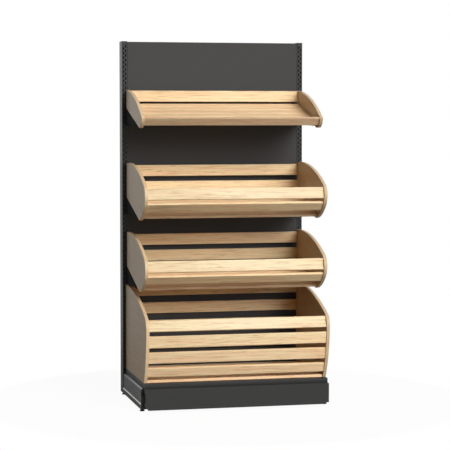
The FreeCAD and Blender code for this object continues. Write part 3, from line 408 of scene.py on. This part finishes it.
def powder_coat(name, shade=1.0, rub=0.0, sheen=0.35, glaze=0.0, index=1.5, black=None):
    """Fine matt powder coat with an orange-peel surface, and rubs where things knock it.

    Shade multiplies the steel's colour, rub is how much the rubs show and glaze
    is the share of a smoother top layer. black makes a mask, from the nodes and
    the place, of where the surface is painted nearly black as shade.
    """
    coat = shaded_coat(shade)
    material, nodes = new_material(name)
    place = nodes.place()
    peel = nodes.noise(place, 1400.0, 2.0, 0.6)
    speckle = nodes.noise(place, 5200.0, 1.0)
    cloud = nodes.noise(place, 5.0, 4.0, 0.6)
    uneven = nodes.math("ADD", 0.90, nodes.math("MULTIPLY", cloud, 0.14))
    uneven = nodes.math("ADD", uneven, nodes.math("MULTIPLY", nodes.math("SUBTRACT", speckle, 0.5), 0.22))
    colour = nodes.add("VectorMath", {0: coat, "Scale": uneven}, operation="SCALE").outputs[0]
    rough = nodes.math("ADD", 0.50, nodes.math("MULTIPLY", cloud, 0.12))
    if rub:
        streak = nodes.mapped(place, Scale=(9.0, 60.0, 240.0))
        rubs_and_slot_shade = nodes.ramp(nodes.noise(streak, 1.0, 5.0, 0.7), (0.63, 0.0), (0.78, 1.0))
        colour = nodes.blend(nodes.math("MULTIPLY", rubs_and_slot_shade, rub), colour,
                             tuple(min(1.0, 2.6 * part) for part in coat))
        rough = nodes.math("SUBTRACT", rough, nodes.math("MULTIPLY", rubs_and_slot_shade, 0.12))
    # Painted shade, nearly black, where the mask says.
    if black is not None:
        colour = nodes.blend(black(nodes, place), colour, NEARLY_BLACK)
    height = nodes.math("ADD", peel, nodes.math("MULTIPLY", speckle, 0.3))
    nodes.finish({"Base Color": colour, "Roughness": rough, "Specular IOR Level": sheen,
                  "IOR": index, "Coat Weight": glaze, "Coat Roughness": 0.24}, height, 0.00009)
    return material


def moulded_plastic():
    """Black moulded plastic with a faint grain."""
    material, nodes = new_material("moulded_black")
    place = nodes.place()
    grain = nodes.noise(place, 2600.0, 2.0)
    cloud = nodes.noise(place, 60.0, 2.0)
    colour = nodes.ramp(cloud, (0.3, (0.010, 0.010, 0.011)), (0.7, (0.019, 0.019, 0.020)))
    rough = nodes.math("ADD", 0.42, nodes.math("MULTIPLY", grain, 0.18))
    nodes.finish({"Base Color": colour, "Roughness": rough}, grain, 0.00005)
    return material


def zinc_plate():
    """Bright zinc plate on turned steel."""
    material, nodes = new_material("zinc_plate")
    place = nodes.place()
    lines = nodes.noise(nodes.mapped(place, Scale=(60.0, 60.0, 2600.0)), 1.0, 3.0, 0.6)
    bloom = nodes.noise(place, 130.0, 3.0)
    colour = nodes.ramp(bloom, (0.3, (0.52, 0.53, 0.54)), (0.7, (0.66, 0.66, 0.64)))
    rough = nodes.math("ADD", 0.28, nodes.math("MULTIPLY", lines, 0.2))
    nodes.finish({"Base Color": colour, "Metallic": 1.0, "Roughness": rough}, lines, 0.00002)
    return material


def coat_finish(kind):
    """One of the coats, made the first time that it is asked for."""
    return bpy.data.materials.get(kind) or powder_coat(kind, **COATS[kind])


def tube_finish(side):
    """The coat of an upright, painted nearly black as shade inside its tube and round its front's slots.

    A slot's rim is a line round its middle stretch, so the distance to a slot is
    the root of the squares of how far a point is beside that line and beyond its
    ends. Height counts in turns of one pitch, from the middle of a slot.
    """
    low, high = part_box("upright_" + side)
    middle, half = tuple((low + high) / 2), tuple((high - low) / 2)

    def black(nodes, place):
        """One inside the tube, up to 0.9 in the painted shade round the front's slots, nought elsewhere."""
        offset = nodes.add("VectorMath", {0: nodes.vector("SUBTRACT", place, middle)}, operation="ABSOLUTE")
        deep = nodes.add("SeparateXYZ", {0: nodes.vector("SUBTRACT", half, offset.outputs[0])}).outputs
        within = nodes.math("GREATER_THAN", nodes.math("MINIMUM", deep["X"], deep["Y"]), TUBE_SKIN)
        x, y, z = nodes.add("SeparateXYZ", {0: place}).outputs
        from_centre = nodes.math("SUBTRACT", nodes.math("ABSOLUTE", x), UPRIGHT_X)
        lowered = nodes.math("MULTIPLY", nodes.math("GREATER_THAN", from_centre, 0.0), 0.5)
        turn = nodes.math("DIVIDE", nodes.math("SUBTRACT", z, FIRST_SLOT_Z), SLOT_PITCH)
        turn = nodes.math("FRACT", nodes.math("ADD", nodes.math("ADD", turn, 0.5), lowered))
        beyond = nodes.math("ABSOLUTE", nodes.math("SUBTRACT", turn, 0.5))
        beyond = nodes.math("SUBTRACT", nodes.math("MULTIPLY", beyond, SLOT_PITCH), SLOT_HALF_STRAIGHT)
        beyond = nodes.math("MAXIMUM", beyond, 0.0)
        beside = nodes.math("SUBTRACT", nodes.math("ABSOLUTE", from_centre), SLOT_COLUMN)
        beside = nodes.math("ABSOLUTE", beside)
        squares = nodes.math("ADD", nodes.math("POWER", beside, 2.0), nodes.math("POWER", beyond, 2.0))
        # Painted shade round each slot, darkest along its middle line.
        rubs_and_slot_shade = nodes.fade(nodes.math("SQRT", squares), *SLOT_SHADE_RIM, 0.9, 0.0)
        front = nodes.math("MULTIPLY", nodes.math("LESS_THAN", y, low.y + 0.0005),
                           nodes.math("LESS_THAN", z, TOP_OF_SLOTS))
        return nodes.math("MAXIMUM", within, nodes.math("MULTIPLY", rubs_and_slot_shade, front))

    return powder_coat("tube_coat_" + side, black=black, **TUBE_COAT)


def channel_finish():
    """The coat of the channels under the legs, with a painted highlight of bright metal along the rim."""
    known = bpy.data.materials.get("rimmed_coat")
    if known:
        return known
    material, nodes = new_material("rimmed_coat")
    place = nodes.place()
    cloud = nodes.noise(place, 40.0, 3.0)
    level = nodes.add("SeparateXYZ", {0: place}).outputs["Z"]
    ragged = nodes.math("ADD", level, nodes.math("MULTIPLY", nodes.math("SUBTRACT", cloud, 0.5), 0.001))
    # Painted highlight: a band of bright metal near the rim.
    painted_highlight = nodes.fade(ragged, *HIGHLIGHT_BAND)
    colour = nodes.blend(painted_highlight, shaded_coat(COATS["knocked_coat"]["shade"]), HIGHLIGHT_METAL)
    rough = nodes.math("ADD", 0.46, nodes.math("MULTIPLY", cloud, 0.14))
    peel = nodes.noise(place, 1400.0, 2.0, 0.6)
    nodes.finish({"Base Color": colour, "Metallic": painted_highlight, "Roughness": rough}, peel, 0.00006)
    return material


def plastic_finish():
    """Moulded plastic, made the first time that it is asked for."""
    return bpy.data.materials.get("moulded_black") or moulded_plastic()


def zinc_finish():
    """Zinc plate, made the first time that it is asked for."""
    return bpy.data.materials.get("zinc_plate") or zinc_plate()


# -------------------------------------------------------------- mesh helpers

def loft(rings):
    """Corners and faces of a skin over closed rings of points, with both ends capped.

    rings holds one ring of points for each place along the path; a ring runs
    anticlockwise as seen looking back along the path.
    """
    places, around = rings.shape[:2]
    start = np.arange(places - 1)[:, None] * around
    here = start + np.arange(around)
    after = start + (np.arange(around) + 1) % around
    quads = np.stack([here, after, after + around, here + around], axis=-1).reshape(-1, 4)
    ends = [np.arange(around)[::-1], (places - 1) * around + np.arange(around)]
    return rings.reshape(-1, 3), quads.tolist() + [end.tolist() for end in ends]


def make_piece(name, bodies, finish, parts, attributes=None, replaces=()):
    """One object from lofted parts, riding on a body and standing for CAD nodes."""
    corners, faces, first = [], [], 0
    for part_corners, part_faces in parts:
        corners.append(part_corners)
        faces += [[first + index for index in face] for face in part_faces]
        first += len(part_corners)
    mesh = bpy.data.meshes.new(name)
    mesh.from_pydata(np.concatenate(corners), [], faces)
    for key, (kind, field, values) in (attributes or {}).items():
        layer = mesh.attributes.new(key, kind, "POINT")
        layer.data.foreach_set(field, np.asarray(values, np.float32).ravel())
    mesh.polygons.foreach_set("use_smooth", np.ones(len(mesh.polygons), bool))
    mesh.update()
    mesh.materials.append(finish)
    piece = bpy.data.objects.new(name, mesh)
    bpy.context.scene.collection.objects.link(piece)
    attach(piece, bodies)
    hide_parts(*replaces)
    return piece


def merged(node):
    """A CAD node's corners, each once, and its triangles."""
    mesh = frame["nodes"][node].data
    corners = np.zeros(len(mesh.vertices) * 3, np.float32)
    mesh.vertices.foreach_get("co", corners)
    mesh.calc_loop_triangles()
    triangles = np.zeros(len(mesh.loop_triangles) * 3, np.int32)
    mesh.loop_triangles.foreach_get("vertices", triangles)
    places, again = np.unique(np.round(corners.reshape(-1, 3), 6), axis=0, return_inverse=True)
    triangles = again.ravel()[triangles].reshape(-1, 3)
    whole = (triangles[:, 0] != triangles[:, 1]) & (triangles[:, 1] != triangles[:, 2])
    return places, triangles[whole & (triangles[:, 0] != triangles[:, 2])]


def solids(node):
    """The corners of each separate solid in a CAD node.

    A label spreads from corner to corner over the triangles until it settles.
    """
    places, triangles = merged(node)
    label = np.arange(len(places))
    while True:
        least = label[triangles].min(axis=1)
        spread = label.copy()
        np.minimum.at(spread, triangles.ravel(), np.repeat(least, 3))
        if np.array_equal(spread, label):
            break
        label = spread
    return [places[label == number] for number in np.unique(label)]


def softened(node, finish, width, segments=2):
    """A CAD node's shape with its flat faces made whole and its sharp edges rounded.

    Triangles within 0.4 degrees of each other become one face, and edges that
    turn by more than 35 degrees get a bevel of the given width.
    """
    places, triangles = merged(node)
    body = frame["nodes"][node]["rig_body"]
    piece = make_piece(node + "_finished", body, finish, [(places, triangles.tolist())],
                       replaces=(node,))
    flat = piece.modifiers.new("Flat faces", "DECIMATE")
    flat.decimate_type = "DISSOLVE"
    flat.angle_limit = math.radians(0.4)
    round_off = piece.modifiers.new("Rounded edges", "BEVEL")
    round_off.width = width
    round_off.segments = segments
    round_off.limit_method = "ANGLE"
    round_off.angle_limit = math.radians(35)
    round_off.harden_normals = True
    piece.modifiers.new("Even shading", "WEIGHTED_NORMAL").keep_sharp = True
    return piece


def dress(node, finish):
    """A finish for a CAD node that keeps its own shape."""
    mesh = frame["nodes"][node].data
    mesh.materials.clear()
    mesh.materials.append(finish)


# ------------------------------------------------------------------- boards

def board_frame(points):
    """Middle, width direction and half sizes of a board that runs along X.

    Of all turns about X, the right one makes the smallest rectangle round it;
    a turn that makes the width the shorter side counts 1 square metre more.
    """
    flat = points[:, 1:]
    best = 0.0
    for span in (math.pi / 2, 0.02):
        turns = best + np.linspace(-span, span, 2001)
        wide = flat @ np.stack([np.cos(turns), np.sin(turns)])
        thick = flat @ np.stack([-np.sin(turns), np.cos(turns)])
        width, height = np.ptp(wide, axis=0), np.ptp(thick, axis=0)
        best = turns[np.argmin(width * height + (width < height))]
    across = np.array([math.cos(best), math.sin(best)])
    through = np.array([-across[1], across[0]])
    spans = [(float((flat @ axis).min()), float((flat @ axis).max())) for axis in (across, through)]
    centre = sum(axis * (low + high) / 2 for axis, (low, high) in zip((across, through), spans))
    half = [(high - low) / 2 for low, high in spans]
    ends = points[:, 0].min(), points[:, 0].max()
    return centre, across, through, half, ends


def rounded_rectangle(half_width, half_height, radius, steps=5, margin=0.0012):
    """Points round a rectangle with quarter-circle corners, anticlockwise.

    Each corner's middle plus the radius times (cos a, sin a), for a over its
    quarter turn, with one more point on each side of it to keep the flats flat.
    """
    quarter = np.linspace(0, math.pi / 2, steps + 1)
    arc = radius * np.stack([np.cos(quarter), np.sin(quarter)], axis=-1)
    corner = np.concatenate([[[radius, -margin]], arc, [[-margin, radius]]])
    turns = np.array([[[1, 0], [0, 1]], [[0, -1], [1, 0]], [[-1, 0], [0, -1]], [[0, 1], [-1, 0]]], float)
    middles = np.array([[1, 1], [-1, 1], [-1, -1], [1, -1]]) * (half_width - radius, half_height - radius)
    return np.concatenate([middle + corner @ turn.T for middle, turn in zip(middles, turns)])


def slat_skin(points, radius):
    """One slat: a rounded rectangle carried along X, with its grain coordinates.

    Over the last half radius at each end the rectangle shrinks along a quarter
    circle: by half the radius times 1 - sqrt(t (2 - t)), where t is the share of
    the way in from the end.
    """
    centre, across, through, half, (left, right) = board_frame(points)
    ease = np.array([0.0, 0.3, 1.0])
    shrink = radius * 0.5 * (1 - np.sqrt(ease * (2 - ease)))
    stations = np.concatenate([left + radius * 0.5 * ease, right - radius * 0.5 * ease[::-1]])
    inset = np.concatenate([shrink, shrink[::-1]])
    rings = []
    for station, less in zip(stations, inset):
        outline = rounded_rectangle(half[0] - less, half[1] - less, radius - less * 0.5)
        flat = centre + outline[:, :1] * across + outline[:, 1:] * through
        rings.append(np.column_stack([np.full(len(flat), station), flat]))
    rings = np.array(rings)
    local = rings[:, :, 1:] - centre
    grain = np.stack([rings[:, :, 0], local @ across, local @ through], axis=-1)
    return loft(rings), grain.reshape(-1, 3)


class RACK_OT_slats(bpy.types.Operator):
    """Build every slat, front board and back board of the tray and the baskets"""

    bl_idname = "rack.slats"
    bl_label = "Slats"

    def execute(self, context):
        wood = context.scene.rack_wood
        finish = slat_finish(wood)
        dice = np.random.default_rng(7)
        for unit, groups in SLAT_GROUPS.items():
            for node in groups:
                skins, grains, boards = [], [], []
                slats = sorted(solids(node), key=lambda points: -points[:, 2].mean())
                for number, points in enumerate(slats):
                    skin, grain = slat_skin(points, wood.rounding)
                    # Each board comes from another length of the log.
                    shift = np.array([dice.uniform(-40, 40), 0.0, 0.0])
                    own = self.board_numbers(dice, node, number, number == len(slats) - 1)
                    skins.append(skin)
                    grains.append(grain + shift)
                    boards.append(np.tile(own, (len(grain), 1)))
                attributes = {"grain": ("FLOAT_VECTOR", "vector", np.concatenate(grains)),
                              "board": ("FLOAT_VECTOR", "vector", np.concatenate(boards))}
                make_piece(node + "_wood", unit, finish, skins, attributes, (node,))
        return {"FINISHED"}

    def board_numbers(self, dice, node, number, lowest):
        """A board's place in the pattern, how rosy it is and its tone.

        Boards count from the top. Front slats grow rosier downwards, back boards
        are the palest and floor slats the rosiest.
        """
        front = "front_slats" in node
        usual = (0.0, 0.3) if "back" in node else (0.4, 0.9)
        rosy = min(0.1 + 0.2 * number, 0.6) if front else dice.uniform(*usual)
        # Painted shade: the lowest floor slat and some groups are darker; the top front slat is darker
        # against the strong light on it.
        tone = TOP_SLAT_TONE if front and number == 0 else dice.uniform(*USUAL_TONES)
        if lowest and node in ("upper_basket_floor_slats", "lower_basket_floor_slats"):
            tone = LOWEST_SLAT_SHADE_TONE
        return dice.uniform(), rosy, tone * GROUP_SHADE_TONES.get(node, 1.0)


class RACK_OT_side_boards(bpy.types.Operator):
    """Give the side boards their grain, which follows each unit's slope, and the painted shade of their
    faces
    """

    bl_idname = "rack.side_boards"
    bl_label = "Side boards"

    def execute(self, context):
        wood = context.scene.rack_wood
        for number, unit in enumerate(SLAT_GROUPS):
            slope = HUNG_SLOPE if unit in HUNG_UNITS else 0.0
            for hand, side in enumerate(SIDES):
                node = "%s_side_%s" % (unit, side)
                low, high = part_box(node)
                anchor = ((low.x + high.x) / 2, high.y, low.z)
                place = 0.11 + 0.37 * number + 0.19 * hand  # its own for each board
                # Painted light and shade: darker broad faces, a little lighter on the left boards, darker
                # on the right.
                tone = wood.side_face_shade * SIDE_LIGHT_AND_SHADE[side]
                half_thick = (high.x - low.x) / 2
                dress(node, side_finish(node + "_wood", wood, anchor, half_thick, slope, place, tone))
        return {"FINISHED"}


# -------------------------------------------------------------- sheet steel

def folded_tray(low, high, axis, sign, sheet, bend, plan_radius):
    """A shallow tray of bent sheet, as rings of a rounded rectangle.

    The rings start at the middle of the outer floor, go round the bend of
    radius `bend`, up the outer wall, over the rim and back down inside. The
    tray's floor lies at the low end of `axis` when sign is 1, else the high end.
    Each step of the profile is an inset from the outside and a level above the
    floor's outer face.
    """
    flat, chamfer = 0.004, 0.0002
    order = [(axis + 1) % 3, (axis + 2) % 3, axis]
    low, high = np.array(low)[order], np.array(high)[order]
    middle, half = (low + high)[:2] / 2, (high - low)[:2] / 2
    depth = high[2] - low[2]
    turn = np.linspace(0, math.pi / 2, 5)
    outer = np.stack([bend * (1 - np.sin(turn)), bend * (1 - np.cos(turn))], axis=-1)
    lead = np.array([[bend + flat, 0.0]])
    rim = np.array([[0.0, depth - chamfer], [chamfer, depth], [sheet - chamfer, depth],
                    [sheet, depth - chamfer]])
    inner_bend = max(bend - sheet, 0.0003)
    inner = np.stack([sheet + inner_bend * (1 - np.sin(turn[::-1])),
                      sheet + inner_bend * (1 - np.cos(turn[::-1]))], axis=-1)
    back = np.array([[sheet + inner_bend + flat, sheet]])
    profile = np.concatenate([lead, outer, rim, inner, back])
    rings = []
    for inset, level in profile:
        outline = middle + rounded_rectangle(half[0] - inset, half[1] - inset,
                                             max(plan_radius - inset, 0.0004), 3, 0.0008)
        height = low[2] + level if sign > 0 else high[2] - level
        ring = np.column_stack([outline, np.full(len(outline), height)])
        rings.append(ring[:, np.argsort(order)])
    rings = np.array(rings)
    return loft(rings[:, ::-1] if sign < 0 else rings)


class RACK_OT_back_panels(bpy.types.Operator):
    """Fold the five back panels from thin sheet"""

    bl_idname = "rack.back_panels"
    bl_label = "Back panels"

    def execute(self, context):
        steel = context.scene.rack_steel
        for number in range(1, 6):
            node = "back_panel_%d" % number
            low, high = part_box(node)
            skin = folded_tray(low, high, axis=1, sign=1, sheet=0.001, bend=steel.bend, plan_radius=0.001)
            make_piece(node + "_sheet", "frame", coat_finish("anthracite_coat"), [skin],
                       replaces=(node,))
        return {"FINISHED"}


class RACK_OT_deck(bpy.types.Operator):
    """Fold the bottom shelf and round its stiffeners"""

    bl_idname = "rack.deck"
    bl_label = "Bottom shelf"

    def execute(self, context):
        steel = context.scene.rack_steel
        low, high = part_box("deck")
        skin = folded_tray(low, high, axis=2, sign=-1, sheet=0.0012, bend=steel.bend, plan_radius=0.0012)
        make_piece("deck_sheet", "frame", coat_finish("knocked_coat"), [skin],
                   replaces=("deck",))
        softened("deck_ribs", coat_finish("anthracite_coat"), steel.edge)
        return {"FINISHED"}


class RACK_OT_kick_plate(bpy.types.Operator):
    """Round the kick plate's folds and its end clips"""

    bl_idname = "rack.kick_plate"
    bl_label = "Kick plate"

    def execute(self, context):
        steel = context.scene.rack_steel
        softened("kick_plate", coat_finish("knocked_coat"), steel.edge)
        softened("kick_plate_clips", plastic_finish(), MOULDED_ROUNDING, 3)
        return {"FINISHED"}


class RACK_OT_uprights(bpy.types.Operator):
    """Coat the slotted uprights, round their caps, and finish the rails between them"""

    bl_idname = "rack.uprights"
    bl_label = "Uprights and rails"

    def execute(self, context):
        steel = context.scene.rack_steel
        for side in SIDES:
            dress("upright_" + side, tube_finish(side))
        softened("upright_caps", plastic_finish(), MOULDED_ROUNDING, 3)
        for node in ("top_rail", "bottom_rail"):
            softened(node, coat_finish("anthracite_coat"), steel.edge)
        dress("rail_screws", zinc_finish())
        return {"FINISHED"}


def leg_flange(sign):
    """A quarter-round flange on top of a base leg, beside the bottom shelf.

    Each ring is a quarter ellipse over the ledge between the shelf's side and
    the leg's outer face, closed at the shelf's foot. Sign is -1 on the left.
    """
    low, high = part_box("base_leg_right")
    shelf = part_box("deck")[1].x
    rise, reach = 0.009, high.x - shelf - 0.0003  # 0.3 mm inside the leg's outer face
    angle = np.linspace(math.pi / 2, 0.0, 7)
    arc = np.stack([shelf + reach * np.cos(angle), high.z + rise * np.sin(angle)], axis=-1)
    outline = np.concatenate([[[shelf, high.z]], arc]) * (sign, 1.0)
    outline = outline if sign > 0 else outline[::-1]
    stations = (low.y + 0.006, low.y + 0.008, -0.002, high.y - 0.001)
    return loft(np.array([np.insert(outline, 1, y, axis=1) for y in stations]))


class RACK_OT_base(bpy.types.Operator):
    """Round the base legs, the channels under them and their slotted front plates"""

    bl_idname = "rack.base"
    bl_label = "Base legs"

    def execute(self, context):
        steel = context.scene.rack_steel
        for side in SIDES:
            softened("base_leg_" + side, coat_finish("leg_coat"), LEG_ROUNDING, 3)
            softened("base_shoe_" + side, channel_finish(), CHANNEL_ROUNDING)
        # The flanges' light coat is a painted highlight along the tops of the legs.
        make_piece("leg_flanges", "frame", coat_finish("flange_highlight_coat"),
                   [leg_flange(-1), leg_flange(1)])
        softened("leg_front_plates", coat_finish("knocked_coat"), steel.edge)
        softened("leg_hook_plates", coat_finish("anthracite_coat"), steel.edge)
        return {"FINISHED"}


class RACK_OT_brackets(bpy.types.Operator):
    """Round the edges of the brackets that carry the tray and the baskets"""

    bl_idname = "rack.brackets"
    bl_label = "Brackets"

    def execute(self, context):
        steel = context.scene.rack_steel
        for unit in HUNG_UNITS:
            for side in SIDES:
                node = "%s_bracket_%s" % (unit, side)
                # The brackets' dark coat is painted shade.
                softened(node, coat_finish("bracket_shade_coat"), steel.edge)
        return {"FINISHED"}


# --------------------------------------------------------------------- feet

def turned(centre, profile, around=40):
    """A turned part: the profile's radius and height carried round an upright axis."""
    angle = np.linspace(0, 2 * math.pi, around, endpoint=False)
    circle = np.stack([np.cos(angle), np.sin(angle)], axis=-1)
    profile = np.asarray(profile, float)
    rings = np.concatenate([profile[:, None, :1] * circle, np.repeat(profile[:, None, 1:], around, axis=1)],
                           axis=-1)
    return loft(rings + np.array([centre[0], centre[1], 0.0]))


def threaded_rod(centre, low, high, radius, pitch, depth, around=32, per_turn=10):
    """A screw thread: the radius falls and rises by `depth` once each `pitch`.

    At height z and angle a, the share of a turn is z / pitch - a / 2 pi, and the
    radius is the full one less depth times a triangle wave of that share, cut
    off a little at top and bottom. Within a pitch of each end the wave dies out.
    """
    angle = np.linspace(0, 2 * math.pi, around, endpoint=False)
    level = np.linspace(low, high, int((high - low) / pitch * per_turn) + 1)
    share = (level[:, None] / pitch - angle / (2 * math.pi)) % 1.0
    wave = np.clip(np.abs(2 * share - 1) * 1.3 - 0.15, 0, 1)
    taper = np.clip(np.minimum(level - low, high - level) / pitch, 0, 1)[:, None]
    reach = radius - depth * (1 - wave * taper)
    rings = np.stack([centre[0] + reach * np.cos(angle), centre[1] + reach * np.sin(angle),
                      np.repeat(level[:, None], around, axis=1)], axis=-1)
    return loft(rings)


def hexagon_collar(centre, low, high, corners, chamfer):
    """A hexagon with its corners chamfered above and below.

    Each ring is the hexagon of radius corners / 2, cut back to a circle that
    grows from the flats' size at the ends to the corners' size inside.
    """
    angle = np.linspace(0, 2 * math.pi, 48, endpoint=False)
    flat = corners / 2 * math.cos(math.pi / 6)
    hexagon = flat / np.cos((angle % (math.pi / 3)) - math.pi / 6)
    limits = np.array([flat * 0.97, corners / 2, corners / 2, flat * 0.97])
    levels = np.array([low, low + chamfer, high - chamfer, high])
    reach = np.minimum(hexagon, limits[:, None])
    rings = np.stack([centre[0] + reach * np.cos(angle + math.pi / 6),
                      centre[1] + reach * np.sin(angle + math.pi / 6),
                      np.repeat(levels[:, None], len(angle), axis=1)], axis=-1)
    return loft(rings)


class RACK_OT_feet(bpy.types.Operator):
    """Turn the levelling feet: pads, threaded spindles and their hexagons"""

    bl_idname = "rack.feet"
    bl_label = "Levelling feet"

    def execute(self, context):
        for foot in FEET:
            body = "foot_" + foot
            low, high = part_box("foot_pad_" + foot)
            centre = ((low.x + high.x) / 2, (low.y + high.y) / 2)
            full = (high.x - low.x) / 2
            # Radius and height, from the middle of the underside out, up and back in to the stem.
            pad = [(0.0005, 0.0), (full - 0.0012, 0.0), (full - 0.0003, 0.0004), (full, 0.0013),
                   (full - 0.0003, 0.0022), (full * 0.78, 0.0058), (full * 0.72, 0.0074),
                   (full * 0.70, high.z - 0.0002), (full * 0.66, high.z), (0.0055, high.z)]
            make_piece("foot_pad_%s_turned" % foot, body, plastic_finish(),
                       [turned(centre, pad)], replaces=("foot_pad_" + foot,))
            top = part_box("foot_spindle_" + foot)[1]
            rod = threaded_rod(centre, high.z - 0.001, top.z, radius=0.005, pitch=0.0015, depth=0.0007)
            collar = hexagon_collar(centre, low=high.z, high=0.0147, corners=0.015, chamfer=0.0008)
            make_piece("foot_spindle_%s_threaded" % foot, body, zinc_finish(),
                       [rod, collar], replaces=("foot_spindle_" + foot,))
        for node in ("foot_nuts", "upright_foot_plugs"):
            dress(node, zinc_finish())
        return {"FINISHED"}


# -------------------------------------------------------------------- stage

class RACK_OT_stage(bpy.types.Operator):
    """Set up the floor, the lamps, the white surroundings and the camera"""

    bl_idname = "rack.stage"
    bl_label = "Stage"

    def execute(self, context):
        scene = context.scene
        stage = scene.rack_stage
        scene.view_settings.view_transform = "Standard"
        self.build_floor(stage)
        self.build_surroundings(scene, stage)
        camera = bpy.data.cameras.new("camera")
        camera.sensor_width = 36.0
        camera.lens = stage.lens
        camera.clip_end = 100.0
        holder = bpy.data.objects.new("camera", camera)
        scene.collection.objects.link(holder)
        holder.location = stage.place
        holder.rotation_euler = (math.pi / 2 + stage.pitch, 0.0, -stage.yaw)
        scene.camera = holder
        return {"FINISHED"}

    def build_floor(self, stage):
        """A wide disc that keeps a faint shadow near the rack and fades to white further out.

        To the camera it is mostly plain white, and the lit surface's share of it
        goes down to nothing further out. To the rack it is dim, so that little
        light comes back up from it.
        """
        radius, sunk, fade_from, fade_to, least_white = 40.0, 0.0005, 0.5, 1.4, 0.95
        angle = np.linspace(0, 2 * math.pi, 96, endpoint=False)
        circle = np.stack([np.cos(angle), np.sin(angle), 0 * angle], axis=-1)
        mesh = bpy.data.meshes.new("floor")
        mesh.from_pydata(circle * radius - np.array([0.0, 0.0, sunk]), [], [list(range(len(angle)))])
        floor = bpy.data.objects.new("floor", mesh)
        bpy.context.scene.collection.objects.link(floor)
        material, nodes = new_material("floor")
        mesh.materials.append(material)
        place = nodes.place()
        distance = nodes.add("VectorMath", {0: place}, operation="LENGTH").outputs["Value"]
        far = nodes.fade(distance, fade_from, fade_to)
        seen = nodes.add("LightPath").outputs["Is Camera Ray"]
        thrown = nodes.add("LightPath").outputs["Is Diffuse Ray"]
        dim = tuple(0.12 * part for part in stage.floor)
        matt = nodes.add("BsdfDiffuse", {"Color": nodes.blend(thrown, tuple(stage.floor), dim)})
        white = nodes.add("Emission", {"Color": (1.0, 1.0, 1.0, 1.0), "Strength": 1.0})
        hidden = nodes.math("MULTIPLY", nodes.math("MAXIMUM", far, least_white), seen)
        mixed = nodes.add("MixShader", {0: hidden, 1: matt.outputs[0], 2: white.outputs[0]})
        nodes.tree.links.new(mixed.outputs[0], nodes.add("OutputMaterial").inputs["Surface"])

    def build_surroundings(self, scene, stage):
        """White where the camera or a reflection looks past the rack, and a soft dome of light."""
        world = bpy.data.worlds.new("surroundings")
        world.use_nodes = True
        scene.world = world
        nodes = Nodes(world.node_tree)
        path = nodes.add("LightPath")
        seen = nodes.math("MAXIMUM", path.outputs["Is Camera Ray"], path.outputs["Is Transmission Ray"])
        seen = nodes.math("MAXIMUM", seen, path.outputs["Is Glossy Ray"])
        outward = nodes.add("TexCoord").outputs["Generated"]
        light = 0.0
        for turn, rise, spread, setting in LIGHT_PATCHES:
            patch = self.soft_light(nodes, outward, turn, rise, spread)
            light = nodes.math("MULTIPLY_ADD", patch, getattr(stage, setting), light)
        dome = nodes.add("Background", {"Color": light, "Strength": 1.0})
        white = nodes.add("Background", {"Color": (1.0, 1.0, 1.0, 1.0), "Strength": 1.0})
        mixed = nodes.add("MixShader", {0: seen, 1: dome.outputs[0], 2: white.outputs[0]})
        nodes.tree.links.new(mixed.outputs[0], nodes.add("OutputWorld").inputs["Surface"])

    def soft_light(self, nodes, outward, turn, rise, spread):
        """A soft round patch of the dome: degrees to the right, above the horizon, and in radius."""
        turn, rise, spread = (math.radians(angle) for angle in (turn, rise, spread))
        aim = (math.sin(turn) * math.cos(rise), -math.cos(turn) * math.cos(rise), math.sin(rise))
        towards = nodes.add("VectorMath", {0: outward, 1: aim}, operation="DOT_PRODUCT").outputs["Value"]
        return nodes.fade(towards, math.cos(spread), math.cos(spread / 6))


# -------------------------------------------------------------------- panel

STEPS = (RACK_OT_stage, RACK_OT_slats, RACK_OT_side_boards, RACK_OT_back_panels, RACK_OT_deck,
         RACK_OT_kick_plate, RACK_OT_uprights, RACK_OT_base, RACK_OT_brackets, RACK_OT_feet)
SETTINGS = (("rack_wood", WoodSettings), ("rack_steel", SteelSettings), ("rack_stage", StageSettings))


class RACK_PT_panel(bpy.types.Panel):
    """The rack's steps and settings in the sidebar"""

    bl_idname = "RACK_PT_panel"
    bl_label = "Bread rack"
    bl_space_type = "VIEW_3D"
    bl_region_type = "UI"
    bl_category = "Bread rack"

    def draw(self, context):
        """One button for each step, and a box with the settings of each group."""
        column = self.layout.column()
        for step in STEPS:
            column.operator(step.bl_idname)
        for name, group in SETTINGS:
            box = self.layout.box()
            for key in group.__annotations__:
                box.prop(getattr(context.scene, name), key)


def register():
    """Add the settings to the scene, and the steps and the panel to Blender."""
    for name, group in SETTINGS:
        bpy.utils.register_class(group)
        setattr(bpy.types.Scene, name, bpy.props.PointerProperty(type=group))
    for step in (*STEPS, RACK_PT_panel):
        bpy.utils.register_class(step)


def unregister():
    """Take the panel, the steps and the settings out again."""
    for step in (RACK_PT_panel, *reversed(STEPS)):
        bpy.utils.unregister_class(step)
    for name, group in reversed(SETTINGS):
        delattr(bpy.types.Scene, name)
        bpy.utils.unregister_class(group)


def main():
    register()
    for step in STEPS:
        group, name = step.bl_idname.split(".")
        getattr(getattr(bpy.ops, group), name)()


if __name__ == "__main__":
    main()
